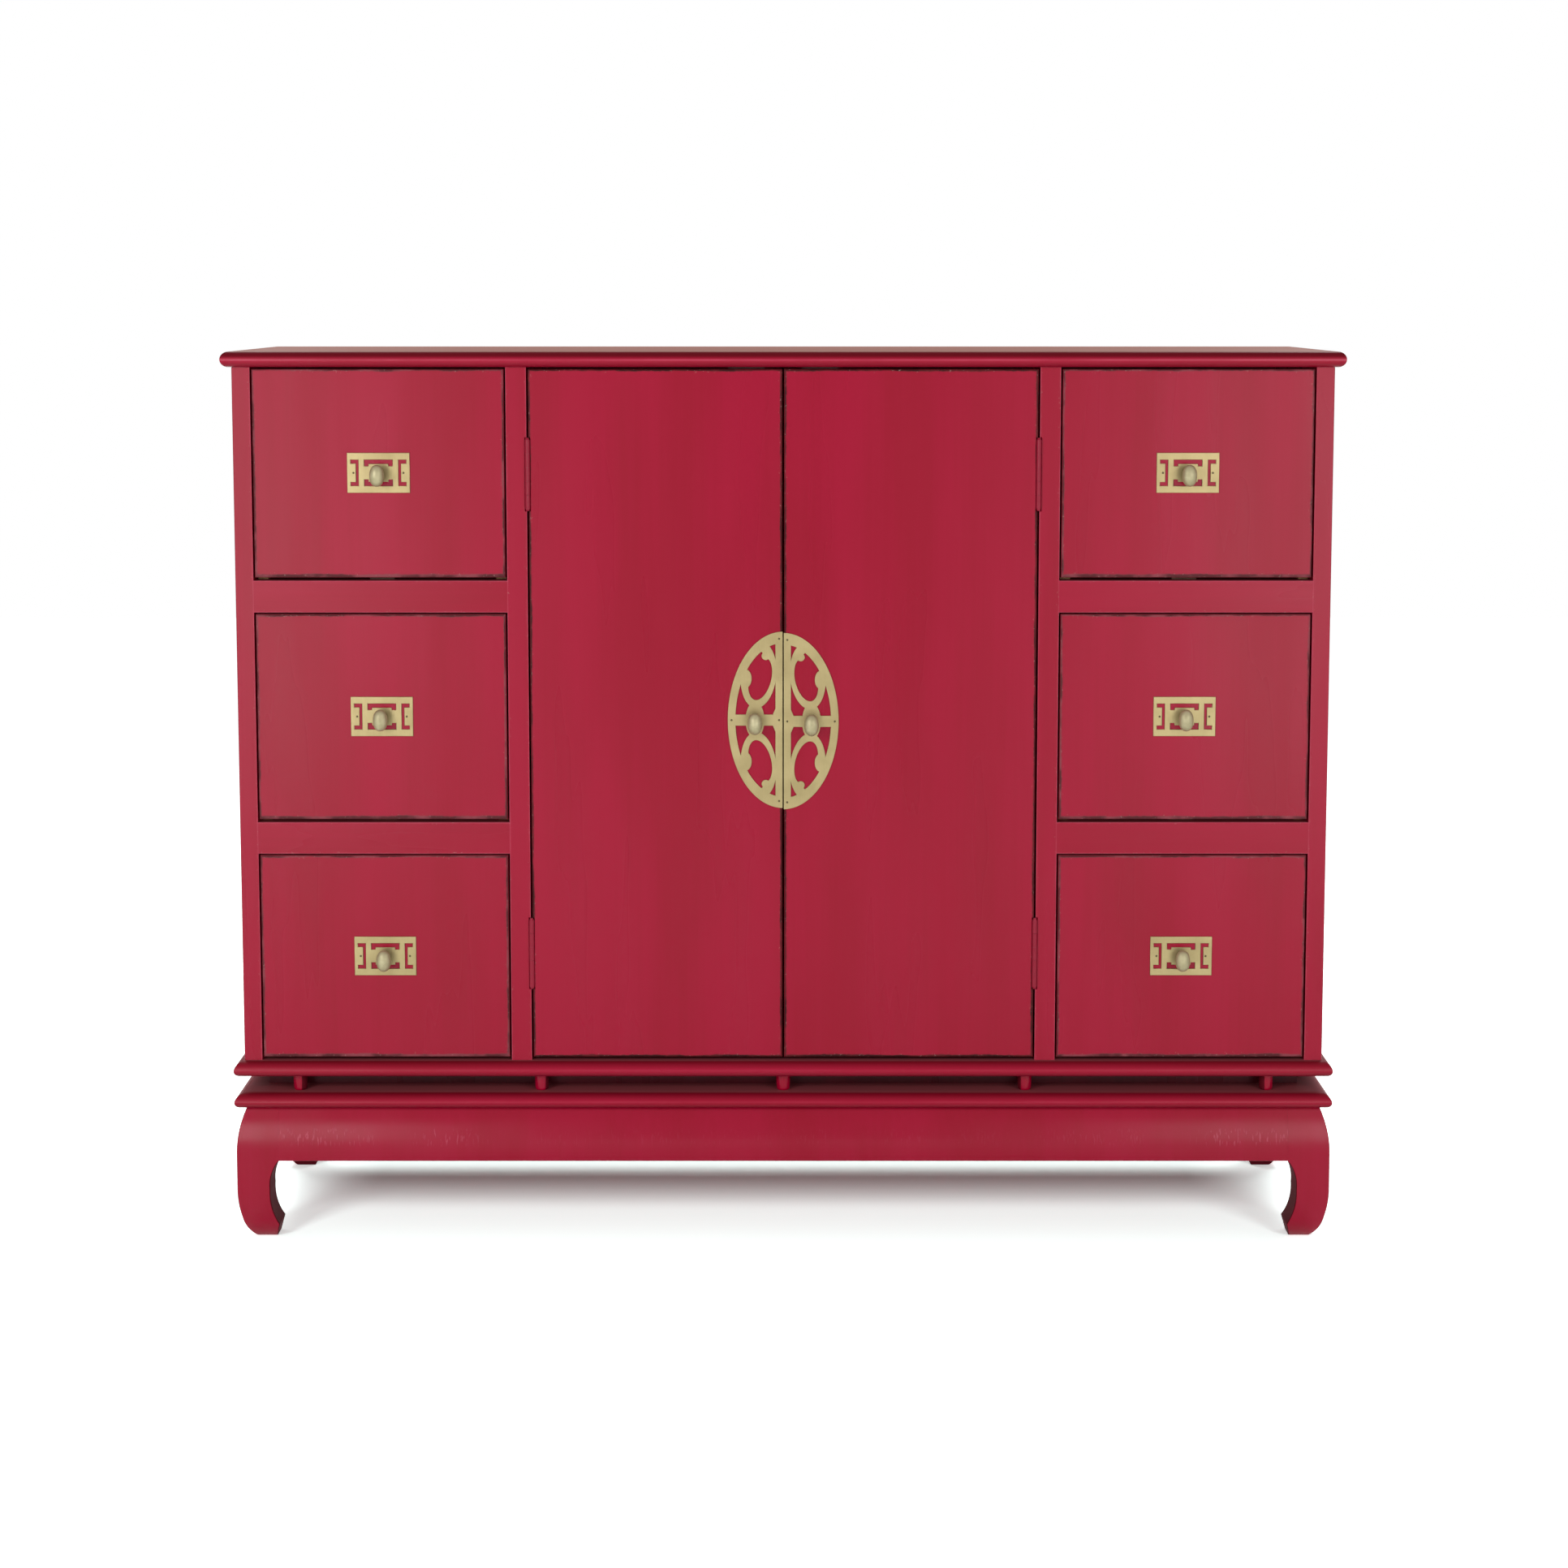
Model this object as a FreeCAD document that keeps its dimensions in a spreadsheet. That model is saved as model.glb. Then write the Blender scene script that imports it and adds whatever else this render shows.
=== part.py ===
import FreeCAD, Part
import os
import Sketcher

# A lacquered sideboard on a low stand: six drawers in two banks, two doors between them.
# Its front looks along -Y, +X is to the right, +Z is up, and the floor is z = 0.

SIZES = {
    # The case
    "case_width": 1338.0,
    "case_depth": 348.0,
    "case_height": 858.0,
    "side_thick": 22.0,
    "partition_thick": 25.0,
    "back_thick": 9.0,
    "drawer_bay_width": 310.0,
    "rail_height": 39.0,
    "rail_depth": 70.0,
    "runner_width": 18.0,
    "runner_height": 20.0,
    # The three moulded boards: top, plinth under the case, top of the stand
    "board_overhang": 12.0,
    "top_thick": 19.0,
    "plinth_thick": 19.0,
    "plinth_slope": 12.0,
    "plinth_nose": 8.5,
    "plinth_tuck": 6.0,
    "stand_thick": 19.0,
    "stand_slope": 14.0,
    "stand_nose": 8.5,
    "stand_tuck": 6.5,
    "round_share": 0.293,
    "slope_run_share": 0.39,
    "slope_drop_share": 0.29,
    # The waist between plinth and stand, with its turned pegs
    "waist_height": 21.0,
    "waist_front_set": 53.0,
    "waist_side_set": 35.0,
    "waist_back_set": 24.0,
    "waist_thick": 20.0,
    "peg_top_radius": 9.8,
    "peg_foot_radius": 6.0,
    "peg_foot_height": 10.0,
    "peg_set": 15.0,
    "peg_end_set": 79.0,
    "peg_count": 5,
    # The stand: legs with hoof feet and the swelling apron between them
    "leg_height": 168.0,
    "leg_set": 1.5,
    "leg_width": 52.0,
    "shoulder_lean": 12.3,
    "shoulder_height": 58.0,
    "shoulder_bow_share": 0.258,
    "apron_height": 67.0,
    "apron_thick": 24.0,
    "ankle_width": 41.2,
    "ankle_height": 64.0,
    "corner_bow_share": 0.36,
    "curl_height": 62.0,
    "heel_lean": 5.0,
    "heel_height": 27.5,
    "heel_bow_share": 0.22,
    "toe_width": 51.0,
    "toe_height": 18.0,
    "toe_bow_share": 0.34,
    "sole_lean": 20.8,
    "sole_width": 46.2,
    "sole_bow_share": 0.19,
    "block_width": 40.0,
    "block_depth": 30.0,
    "block_height": 60.0,
    # Doors
    "front_gap": 2.2,
    "foot_gap": 4.0,
    "front_proud": 1.0,
    "front_round": 2.0,
    "door_thick": 19.0,
    # Drawers
    "drawer_front_thick": 20.0,
    "box_height": 205.0,
    "box_side_thick": 12.0,
    "box_bottom_thick": 6.0,
    "box_side_gap": 3.0,
    "box_back_gap": 12.0,
    "bottom_lift": 10.0,
    "running_gap": 0.5,
    "stop_width": 30.0,
    "stop_height": 9.0,
    "stop_depth": 12.0,
    "stop_gap": 0.3,
    # Cupboard shelf and the catches behind the doors
    "shelf_thick": 18.0,
    "shelf_set": 34.0,
    "shelf_level_share": 0.5,
    "cleat_width": 15.0,
    "cleat_height": 20.0,
    "catch_width": 44.0,
    "catch_height": 20.0,
    "catch_depth": 16.0,
    "catch_offset": 45.0,
    "catch_gap": 0.3,
    "strike_width": 36.0,
    "strike_height": 12.0,
    "strike_thick": 1.2,
    # Butt hinges
    "hinge_height": 84.0,
    "hinge_top_set": 88.0,
    "hinge_foot_set": 93.0,
    "knuckle_radius": 3.3,
    "knuckle_count": 5,
    "knuckle_gap": 0.3,
    "axis_proud": 0.8,
    "barrel_clear": 0.5,
    "pin_radius": 1.5,
    "pin_clear": 0.06,
    "pin_head_radius": 2.8,
    "pin_tip_radius": 1.9,
    "pin_head_height": 2.4,
    "leaf_thick": 0.8,
    "leaf_depth": 17.0,
    # Pierced door plates, half an oval on each door
    "plate_thick": 1.6,
    "plate_drop": 3.2,
    "plate_step": 1.6,
    "oval_half_width": 68.0,
    "oval_half_height": 109.2,
    "rim_side": 9.4,
    "rim_end": 14.2,
    "plate_gap": 1.4,
    "strip_width": 9.5,
    "plate_bar_height": 13.8,
    "boss_half_width": 11.6,
    "boss_half_height": 22.5,
    "boss_offset": 34.6,
    "lug_width": 12.5,
    "lug_flat_height": 15.0,
    "lug_height": 28.8,
    "scroll_x_share": 0.443,
    "scroll_z_share": 0.510,
    "scroll_width_share": 0.319,
    "scroll_height_share": 0.375,
    "scroll_tilt": 5.7,
    "eye_x_share": 0.415,
    "eye_z_share": 0.469,
    "eye_width_share": 0.1985,
    "eye_height_share": 0.247,
    "eye_tilt": 14.0,
    "side_lobe_x_share": 0.672,
    "side_lobe_z_share": 0.470,
    "side_lobe_share": 0.103,
    "top_lobe_x_share": 0.315,
    "top_lobe_z_share": 0.725,
    "top_lobe_share": 0.0735,
    # Pierced drawer plates
    "pull_width": 76.2,
    "pull_height": 48.8,
    "pull_lift": 2.0,
    "pull_end_margin": 4.2,
    "pull_edge_margin": 8.5,
    "bracket_reach": 9.7,
    "bracket_bar": 4.6,
    "bracket_post": 3.2,
    "slot_length": 34.7,
    "slot_bar": 4.9,
    "slot_foot_width": 5.2,
    "slot_foot_drop": 2.9,
    # Oval knobs
    "knob_width": 18.0,
    "knob_height": 26.5,
    "knob_tip_radius": 0.6,
    "knob_end_x_share": 0.38,
    "knob_end_z_share": 0.941,
    "knob_turn_x_share": 0.633,
    "knob_turn_z_share": 0.778,
    "knob_reach": 25.0,
    "knob_drop": 2.6,
    "knob_neck_radius": 3.6,
    "knob_foot_radius": 5.4,
}

SIDES = {"left": -1, "right": 1}
LEVELS = ("bottom", "middle", "top")
DRAWER_ROWS = len(LEVELS)

# Sketch planes: seen from the front, and seen from the right
FRONT_VIEW = FreeCAD.Rotation(FreeCAD.Vector(1, 0, 0), 90)
SIDE_VIEW = FreeCAD.Rotation(FreeCAD.Vector(1, 1, 1), 120)


class Size:
    """A length that carries both its value and the sheet expression behind it."""

    def __init__(self, value, text):
        self.value = value
        self.text = text

    def _join(self, sign, value, other):
        text = other.text if isinstance(other, Size) else repr(other)
        return Size(value, f"({self.text} {sign} {text})")

    def __add__(self, other):
        return self._join("+", self.value + number(other), other)

    def __sub__(self, other):
        return self._join("-", self.value - number(other), other)

    def __mul__(self, other):
        return self._join("*", self.value * number(other), other)

    def __truediv__(self, other):
        return self._join("/", self.value / number(other), other)

    def __radd__(self, other):
        return self + other

    def __rmul__(self, ratio):
        return self * ratio

    def __neg__(self):
        return self * -1


def number(size):
    """The plain number of a size, or of a number itself."""
    return size.value if isinstance(size, Size) else size


def write_sheet(doc):
    """Put every driving dimension in a sheet, each cell under its own name."""
    sheet = doc.addObject("Spreadsheet::Sheet", "sizes")
    for row, (word, value) in enumerate(SIZES.items(), start=1):
        sheet.set(f"A{row}", word)
        sheet.set(f"B{row}", str(value))
        sheet.setAlias(f"B{row}", word)
    doc.recompute()
    return sheet


DOC = FreeCAD.newDocument("sideboard")
SHEET = write_sheet(DOC)
NODES = []


def size(word):
    """A driving dimension, by its name in the sheet."""
    return Size(float(SHEET.get(word)), f"sizes.{word}")


# Levels from the floor up
STAND_FOOT = size("leg_height")
STAND_TOP = STAND_FOOT + size("stand_thick")
PLINTH_FOOT = STAND_TOP + size("waist_height")
CASE_FOOT = PLINTH_FOOT + size("plinth_thick")
CASE_TOP = CASE_FOOT + size("case_height")

# Plan, with the knobs' reach counted so that the whole part is centred on the origin
MIDDLE = size("case_width") * 0
KNOB_OVERSHOOT = size("front_proud") + size("plate_thick") + size("knob_reach") - size("board_overhang")
MID_Y = KNOB_OVERSHOOT / 2
FRONT_Y = MID_Y - size("case_depth") / 2
BACK_Y = MID_Y + size("case_depth") / 2
NOSE_FRONT_Y = FRONT_Y - size("board_overhang")
NOSE_BACK_Y = BACK_Y + size("board_overhang")
NOSE_X = size("case_width") / 2 + size("board_overhang")
PANEL_BACK_Y = BACK_Y - size("back_thick")
PANEL_DEPTH = size("case_depth") - size("back_thick")

# Bays of the case
BAY_HEIGHT = (size("case_height") - size("rail_height") * (DRAWER_ROWS - 1)) / DRAWER_ROWS
BAY_OUTER_X = size("case_width") / 2 - size("side_thick")
BAY_MID_X = BAY_OUTER_X - size("drawer_bay_width") / 2
BAY_INNER_X = BAY_OUTER_X - size("drawer_bay_width")
CUPBOARD_X = BAY_INNER_X - size("partition_thick")

# Faces that the fittings sit on
DRAWN_FRONT_Y = FRONT_Y - size("front_proud")
PLATE_FRONT_Y = DRAWN_FRONT_Y - size("plate_thick")


def bind(thing, prop, length):
    """Tie one property to the sheet, or leave it at a plain zero."""
    if isinstance(length, Size):
        thing.setExpression(prop, length.text)


def place(thing, x, y, z):
    """Tie a piece's position to the sheet."""
    for axis, length in zip("xyz", (x, y, z)):
        bind(thing, f"Placement.Base.{axis}", length)
    return thing


def node(label, thing):
    """Name a finished sub-part."""
    thing.Label = label
    NODES.append(thing)
    return thing


def board(mid_x, front_y, low_z, width, depth, height):
    """A plain board: its middle in X, its nearest face in Y, its underside in Z."""
    box = DOC.addObject("Part::Box", "board")
    bind(box, "Length", width)
    bind(box, "Width", depth)
    bind(box, "Height", height)
    return place(box, mid_x - width / 2, front_y, low_z)


def rod(radius, height, x, y, z):
    """An upright round rod, from its centre and its lower end."""
    cylinder = DOC.addObject("Part::Cylinder", "rod")
    bind(cylinder, "Radius", radius)
    bind(cylinder, "Height", height)
    return place(cylinder, x, y, z)


def group(pieces):
    """Loose solids that share one name."""
    bundle = DOC.addObject("Part::Compound", "group")
    bundle.Links = pieces
    return bundle


def fuse(pieces):
    """One solid of several."""
    whole = DOC.addObject("Part::MultiFuse", "fuse")
    whole.Shapes = pieces
    whole.Refine = True
    return whole


def cut(base, tool):
    """A piece with another taken out of it."""
    rest = DOC.addObject("Part::Cut", "cut")
    rest.Base = base
    rest.Tool = tool
    return rest


def common(pieces):
    """What several pieces share."""
    shared = DOC.addObject("Part::MultiCommon", "common")
    shared.Shapes = pieces
    return shared


def tie_point(sketch, index, corner, point):
    """Hold one point of a sketch at a place that the sheet gives."""
    for direction, axis, length in (("DistanceX", -2, point[0]), ("DistanceY", -1, point[1])):
        if isinstance(length, Size):
            rule = Sketcher.Constraint(direction, -1, 1, index, corner, length.value)
            rule_index = sketch.addConstraint(rule)
            sketch.setExpression(f"Constraints[{rule_index}]", length.text)
        else:
            sketch.addConstraint(Sketcher.Constraint("PointOnObject", index, corner, axis))


def vector(point):
    """A sketch point as a vector in the sketch's plane."""
    return FreeCAD.Vector(number(point[0]), number(point[1]), 0)


def draw_step(sketch, here, step):
    """Add one side of an outline: a straight run, or an arc that passes through a point."""
    if isinstance(step[0], tuple):
        through, there = step
        index = sketch.addGeometry(Part.Arc(vector(here), vector(through), vector(there)))
        passed = sketch.addGeometry(Part.Point(vector(through)), True)
        tie_point(sketch, passed, 1, through)
        sketch.addConstraint(Sketcher.Constraint("PointOnObject", passed, 1, index))
    else:
        there = step
        index = sketch.addGeometry(Part.LineSegment(vector(here), vector(there)))
    forward = sketch.getPoint(index, 1).isEqual(vector(here), Part.Precision.confusion())
    return there, index, (1, 2) if forward else (2, 1)


def outline(sketch, path):
    """Close an outline from its first point through its steps, every point tied to the sheet."""
    here = path[0]
    sides = []
    for step in path[1:] + [path[0]]:
        here, index, ends = draw_step(sketch, here, step)
        tie_point(sketch, index, ends[1], here)
        sides.append((index, ends))
    for (index, ends), (following, next_ends) in zip(sides, sides[1:] + sides[:1]):
        sketch.addConstraint(Sketcher.Constraint("Coincident", index, ends[1], following, next_ends[0]))


def profile(view, path):
    """A free sketch of one closed outline, seen from the front or from the right."""
    sketch = DOC.addObject("Sketcher::SketchObject", "profile")
    sketch.Placement = FreeCAD.Placement(FreeCAD.Vector(), view)
    outline(sketch, path)
    return sketch


def extrude(sketch, length, middle=0, axis="x"):
    """Push a profile both ways from its own plane, which lies at the given middle."""
    bind(sketch, f"Placement.Base.{axis}", middle)
    prism = DOC.addObject("Part::Extrusion", "extrusion")
    prism.Base = sketch
    prism.DirMode = "Normal"
    prism.Symmetric = True
    prism.Solid = True
    bind(prism, "LengthFwd", length)
    return prism


def plane_of(body, role):
    """One of a body's own origin planes."""
    return next(item for item in body.Origin.OriginFeatures if item.Role == role)


def body_sketch(body, name):
    """A sketch on a body's upright front plane."""
    sketch = body.newObject("Sketcher::SketchObject", name)
    sketch.AttachmentSupport = (plane_of(body, "XZ_Plane"), "")
    sketch.MapMode = "FlatFace"
    return sketch


def slab(width, height, thick, mid_x, back_y, low_z):
    """An upright panel as a body: a rectangle padded forwards from its back face."""
    body = DOC.addObject("PartDesign::Body", "slab")
    sketch = body_sketch(body, "face")
    half = width / 2
    outline(sketch, [(-half, 0), (half, 0), (half, height), (-half, height)])
    pad = body.newObject("PartDesign::Pad", "thickness")
    pad.Profile = sketch
    bind(pad, "Length", thick)
    place(body, mid_x, back_y, low_z)
    DOC.recompute()
    return body, pad


def soften_front(body, pad, radius):
    """Round the four edges of a padded panel's front face."""
    front = pad.Shape.BoundBox.YMin
    edges = [
        f"Edge{index}"
        for index, edge in enumerate(pad.Shape.Edges, start=1)
        if edge.BoundBox.YMax - front < radius.value / 2
    ]
    fillet = body.newObject("PartDesign::Fillet", "soft_edge")
    fillet.Base = (pad, edges)
    bind(fillet, "Radius", radius)
    DOC.recompute()
    return body


def moulding(half, centre, low_z, thick, slope, nose, tuck, run_share, drop_share):
    """Cross-section of a moulded board: flat below, round nose, round or sloping top edge."""
    bend = size("round_share")
    steps = []
    for side in (1, -1):
        edge = centre + side * half
        low_mid = (edge - side * tuck * bend, low_z + nose * bend)
        high_mid = (edge - side * slope * run_share, low_z + thick - (thick - nose) * drop_share)
        low_end = (edge - side * tuck, low_z)
        high_end = (edge - side * slope, low_z + thick)
        tip = (edge, low_z + nose)
        steps.append([low_end, (low_mid, tip), (high_mid, high_end)])
    right, left = steps
    return right + [left[2][1], (left[2][0], left[1][1]), (left[1][0], left[0])]


def moulded_board(label, *section):
    """A board with the same moulding on all four edges, mitred at the corners."""
    half_depth = size("case_depth") / 2 + size("board_overhang")
    front = profile(FRONT_VIEW, moulding(NOSE_X, MIDDLE, *section))
    side = profile(SIDE_VIEW, moulding(half_depth, MID_Y, *section))
    return node(label, common([
        extrude(front, half_depth * 2, MID_Y, "y"),
        extrude(side, NOSE_X * 2),
    ]))


def build_boards():
    """The top, the plinth under the case and the top of the stand."""
    half_round = size("top_thick") / 2
    bend = size("round_share")
    slope_shares = size("slope_run_share"), size("slope_drop_share")
    moulded_board("top_board", CASE_TOP, size("top_thick"), half_round, half_round, half_round, bend, bend)
    moulded_board("plinth_board", PLINTH_FOOT, size("plinth_thick"), size("plinth_slope"),
                  size("plinth_nose"), size("plinth_tuck"), *slope_shares)
    moulded_board("stand_board", STAND_FOOT, size("stand_thick"), size("stand_slope"),
                  size("stand_nose"), size("stand_tuck"), *slope_shares)


def hinge_levels():
    """Lower ends of the two hinges of a door."""
    upper = CASE_TOP - size("hinge_top_set") - size("hinge_height")
    lower = CASE_FOOT + size("hinge_foot_set")
    return {"lower": lower, "upper": upper}


def hinge_axis(side):
    """Where a door's hinge axis stands in plan: in the middle of the gap, just proud of the face."""
    return side * (CUPBOARD_X - size("front_gap") / 2), FRONT_Y - size("axis_proud")


def barrel_recess(side):
    """Round grooves that let the hinge barrels into the wood."""
    x, y = hinge_axis(side)
    spare = size("barrel_clear")
    reach = size("knuckle_radius") + spare
    head = size("pin_head_radius") + spare
    return fuse([
        rod(reach, size("hinge_height") + head * 2, x, y, level - head)
        for level in hinge_levels().values()
    ])


def build_case():
    """Side panels, partitions, back, drawer rails, runners and stops."""
    for name, side in SIDES.items():
        panel_x = side * (size("case_width") - size("side_thick")) / 2
        node(f"{name}_side_panel", board(
            panel_x, FRONT_Y, CASE_FOOT, size("side_thick"), size("case_depth"), size("case_height")))
        partition = board(
            side * (BAY_INNER_X + CUPBOARD_X) / 2, FRONT_Y, CASE_FOOT,
            size("partition_thick"), PANEL_DEPTH, size("case_height"))
        node(f"{name}_partition", cut(partition, barrel_recess(side)))
    node("back_panel", board(
        MIDDLE, PANEL_BACK_Y, CASE_FOOT, BAY_OUTER_X * 2, size("back_thick"),
        size("case_height")))
    node("drawer_rails", group([
        board(side * BAY_MID_X, FRONT_Y, bay_foot(row) - size("rail_height"),
              size("drawer_bay_width"), size("rail_depth"), size("rail_height"))
        for side in SIDES.values() for row in range(1, DRAWER_ROWS)
    ]))
    node("drawer_runners", group([
        runner(side, row, hand)
        for side in SIDES.values() for row in range(1, DRAWER_ROWS) for hand in SIDES.values()
    ]))
    node("drawer_stops", group([
        drawer_stop(side, row) for side in SIDES.values() for row in range(DRAWER_ROWS)
    ]))


def bay_foot(row):
    """Lower edge of a drawer opening, counted from the bottom row."""
    return CASE_FOOT + (BAY_HEIGHT + size("rail_height")) * row


def runner(side, row, hand):
    """A runner behind a rail, level with it, against one wall of the bay."""
    x = side * BAY_MID_X + hand * (size("drawer_bay_width") - size("runner_width")) / 2
    return board(
        x, FRONT_Y + size("rail_depth"), bay_foot(row) - size("runner_height"),
        size("runner_width"), PANEL_DEPTH - size("rail_depth"), size("runner_height"))


def drawer_stop(side, row):
    """A small block that meets the back of a closed drawer's front."""
    front = DRAWN_FRONT_Y + size("drawer_front_thick") + size("stop_gap")
    return board(side * BAY_MID_X, front, bay_foot(row),
                 size("stop_width"), size("stop_depth"), size("stop_height"))


def build_cupboard():
    """The shelf on its cleats, and the catches that hold the doors shut."""
    door_back = DRAWN_FRONT_Y + size("door_thick")
    shelf_foot = CASE_FOOT + size("case_height") * size("shelf_level_share")
    front = FRONT_Y + size("shelf_set")
    depth = PANEL_BACK_Y - front
    node("cupboard_shelf", board(
        MIDDLE, front, shelf_foot, CUPBOARD_X * 2, depth, size("shelf_thick")))
    node("shelf_cleats", group([
        board(side * (CUPBOARD_X - size("cleat_width") / 2), front, shelf_foot - size("cleat_height"),
              size("cleat_width"), depth, size("cleat_height"))
        for side in SIDES.values()
    ]))
    node("door_catches", group([
        board(side * size("catch_offset"), door_back + size("strike_thick") + size("catch_gap"),
              CASE_TOP - size("catch_height"), size("catch_width"), size("catch_depth"), size("catch_height"))
        for side in SIDES.values()
    ]))


def build_waist():
    """The set-back frieze boards and the row of turned pegs in front of them."""
    front = NOSE_FRONT_Y + size("waist_front_set")
    back = NOSE_BACK_Y - size("waist_back_set")
    half = NOSE_X - size("waist_side_set")
    thick = size("waist_thick")
    side_depth = back - front - thick * 2
    boards = [
        board(MIDDLE, y, STAND_TOP, half * 2, thick, size("waist_height"))
        for y in (front, back - thick)
    ]
    boards += [
        board(side * (half - thick / 2), front + thick, STAND_TOP, thick, side_depth, size("waist_height"))
        for side in SIDES.values()
    ]
    node("waist_boards", group(boards))
    count = int(number(size("peg_count")))
    first = size("peg_end_set") - NOSE_X
    step = first * -2 / (count - 1)
    node("waist_pegs", group([waist_peg(first + step * place_in_row) for place_in_row in range(count)]))


def waist_peg(x):
    """A turned peg, straight above and tapered at its foot."""
    mid_y = NOSE_FRONT_Y + size("peg_set") + size("peg_top_radius")
    foot = DOC.addObject("Part::Cone", "peg_foot")
    bind(foot, "Radius1", size("peg_foot_radius"))
    bind(foot, "Radius2", size("peg_top_radius"))
    bind(foot, "Height", size("peg_foot_height"))
    place(foot, x, mid_y, STAND_TOP)
    shank = rod(size("peg_top_radius"), size("waist_height") - size("peg_foot_height"),
                x, mid_y, STAND_TOP + size("peg_foot_height"))
    return fuse([foot, shank])


def bowed(start, end, out, share):
    """A point beside the middle of a run, moved across it by a share of the run's sideways step."""
    return (start[0] + end[0]) / 2 + out * (end[0] - start[0]) * share, (start[1] + end[1]) / 2


def shoulder(edge, inward):
    """The swelling upper curve that legs and aprons share, from the widest point up to the top."""
    widest = (edge, STAND_FOOT - size("shoulder_height"))
    top = (edge + inward * size("shoulder_lean"), STAND_FOOT)
    return widest, (bowed(widest, top, -1, size("shoulder_bow_share")), top)


def leg_outline(edge, inward):
    """A leg seen square on: swelling shoulder, drawn-in ankle and a foot that curls inward."""
    corner = (edge + inward * size("leg_width"), STAND_FOOT - size("apron_height"))
    ankle = (edge + inward * size("ankle_width"), size("ankle_height"))
    toe = (edge + inward * size("toe_width"), size("toe_height"))
    sole_in = (edge + inward * size("sole_width"), 0)
    sole_out = (edge + inward * size("sole_lean"), 0)
    heel = (edge + inward * size("heel_lean"), size("heel_height"))
    curl = (edge, size("curl_height"))
    widest, top_arc = shoulder(edge, inward)
    return [
        widest,
        top_arc,
        (corner[0], STAND_FOOT),
        corner,
        (bowed(corner, ankle, 1, size("corner_bow_share")), ankle),
        (bowed(ankle, toe, -1, size("toe_bow_share")), toe),
        sole_in,
        sole_out,
        (bowed(sole_out, heel, 1, size("sole_bow_share")), heel),
        (bowed(heel, curl, 1, size("heel_bow_share")), curl),
    ]


def apron_outline(edge, inward):
    """Cross-section of an apron, with the shoulder of the legs on its face."""
    widest, top_arc = shoulder(edge, inward)
    inner = edge + inward * size("apron_thick")
    underside = STAND_FOOT - size("apron_height")
    return [widest, top_arc, (inner, STAND_FOOT), (inner, underside), (edge, underside)]


def build_stand():
    """Four hoof-footed legs, the aprons between them and the blocks that stiffen the corners."""
    depth = size("case_depth") + size("board_overhang") * 2
    half = NOSE_X - size("leg_set")
    ends = {"front": (NOSE_FRONT_Y + size("leg_set"), 1), "back": (NOSE_BACK_Y - size("leg_set"), -1)}
    across = {
        name: extrude(profile(SIDE_VIEW, leg_outline(edge, inward)), NOSE_X * 2)
        for name, (edge, inward) in ends.items()
    }
    along = {
        name: extrude(profile(FRONT_VIEW, leg_outline(side * half, -side)), depth, MID_Y, "y")
        for name, side in SIDES.items()
    }
    for end in ends:
        for name in SIDES:
            node(f"{end}_{name}_leg", common([along[name], across[end]]))
    free_width = (half - size("leg_width")) * 2
    free_depth = depth - (size("leg_set") + size("leg_width")) * 2
    for end, (edge, inward) in ends.items():
        node(f"{end}_apron", extrude(profile(SIDE_VIEW, apron_outline(edge, inward)), free_width))
    node("side_aprons", group([
        extrude(profile(FRONT_VIEW, apron_outline(side * half, -side)), free_depth, MID_Y, "y")
        for side in SIDES.values()
    ]))
    node("corner_blocks", group([
        corner_block(side * (half - size("leg_width") - size("block_width") / 2), edge, inward)
        for side in SIDES.values() for edge, inward in ends.values()
    ]))


def corner_block(x, edge, inward):
    """A block behind an apron, against the leg and the underside of the stand's top."""
    middle = edge + inward * (size("apron_thick") + size("block_depth") / 2)
    return board(x, middle - size("block_depth") / 2, STAND_FOOT - size("block_height"),
                 size("block_width"), size("block_depth"), size("block_height"))


def knuckle_run(first, level):
    """Lower ends and height of every second knuckle of a hinge, from the first one given."""
    count = int(number(size("knuckle_count")))
    height = (size("hinge_height") - size("knuckle_gap") * (count - 1)) / count
    return [level + (height + size("knuckle_gap")) * place_up for place_up in range(first, count, 2)], height


def hinge_leaf(side, level, first, leaf_mid_x):
    """A leaf in the gap beside the door, with its knuckles rolled round the pin."""
    x, y = hinge_axis(side)
    lows, height = knuckle_run(first, level)
    pieces = [board(leaf_mid_x, DRAWN_FRONT_Y + size("knuckle_radius") + size("barrel_clear"), level,
                    size("leaf_thick"), size("leaf_depth"), size("hinge_height"))]
    for low in lows:
        pieces.append(rod(size("knuckle_radius"), height, x, y, low))
        pieces.append(board(leaf_mid_x, y, low, size("leaf_thick"), size("leaf_depth"), height))
    bore = rod(size("pin_radius") + size("pin_clear"), size("hinge_height"), x, y, level)
    return cut(fuse(pieces), bore)


def hinge_pin(side, level):
    """A pin through the knuckles with a tapered head at each end."""
    x, y = hinge_axis(side)
    pieces = [rod(size("pin_radius"), size("hinge_height"), x, y, level)]
    top = level + size("hinge_height")
    for low, foot, tip in (
            (level - size("pin_head_height"), size("pin_tip_radius"), size("pin_head_radius")),
            (top, size("pin_head_radius"), size("pin_tip_radius"))):
        head = DOC.addObject("Part::Cone", "head")
        bind(head, "Radius1", foot)
        bind(head, "Radius2", tip)
        bind(head, "Height", size("pin_head_height"))
        pieces.append(place(head, x, y, low))
    return fuse(pieces)


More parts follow.
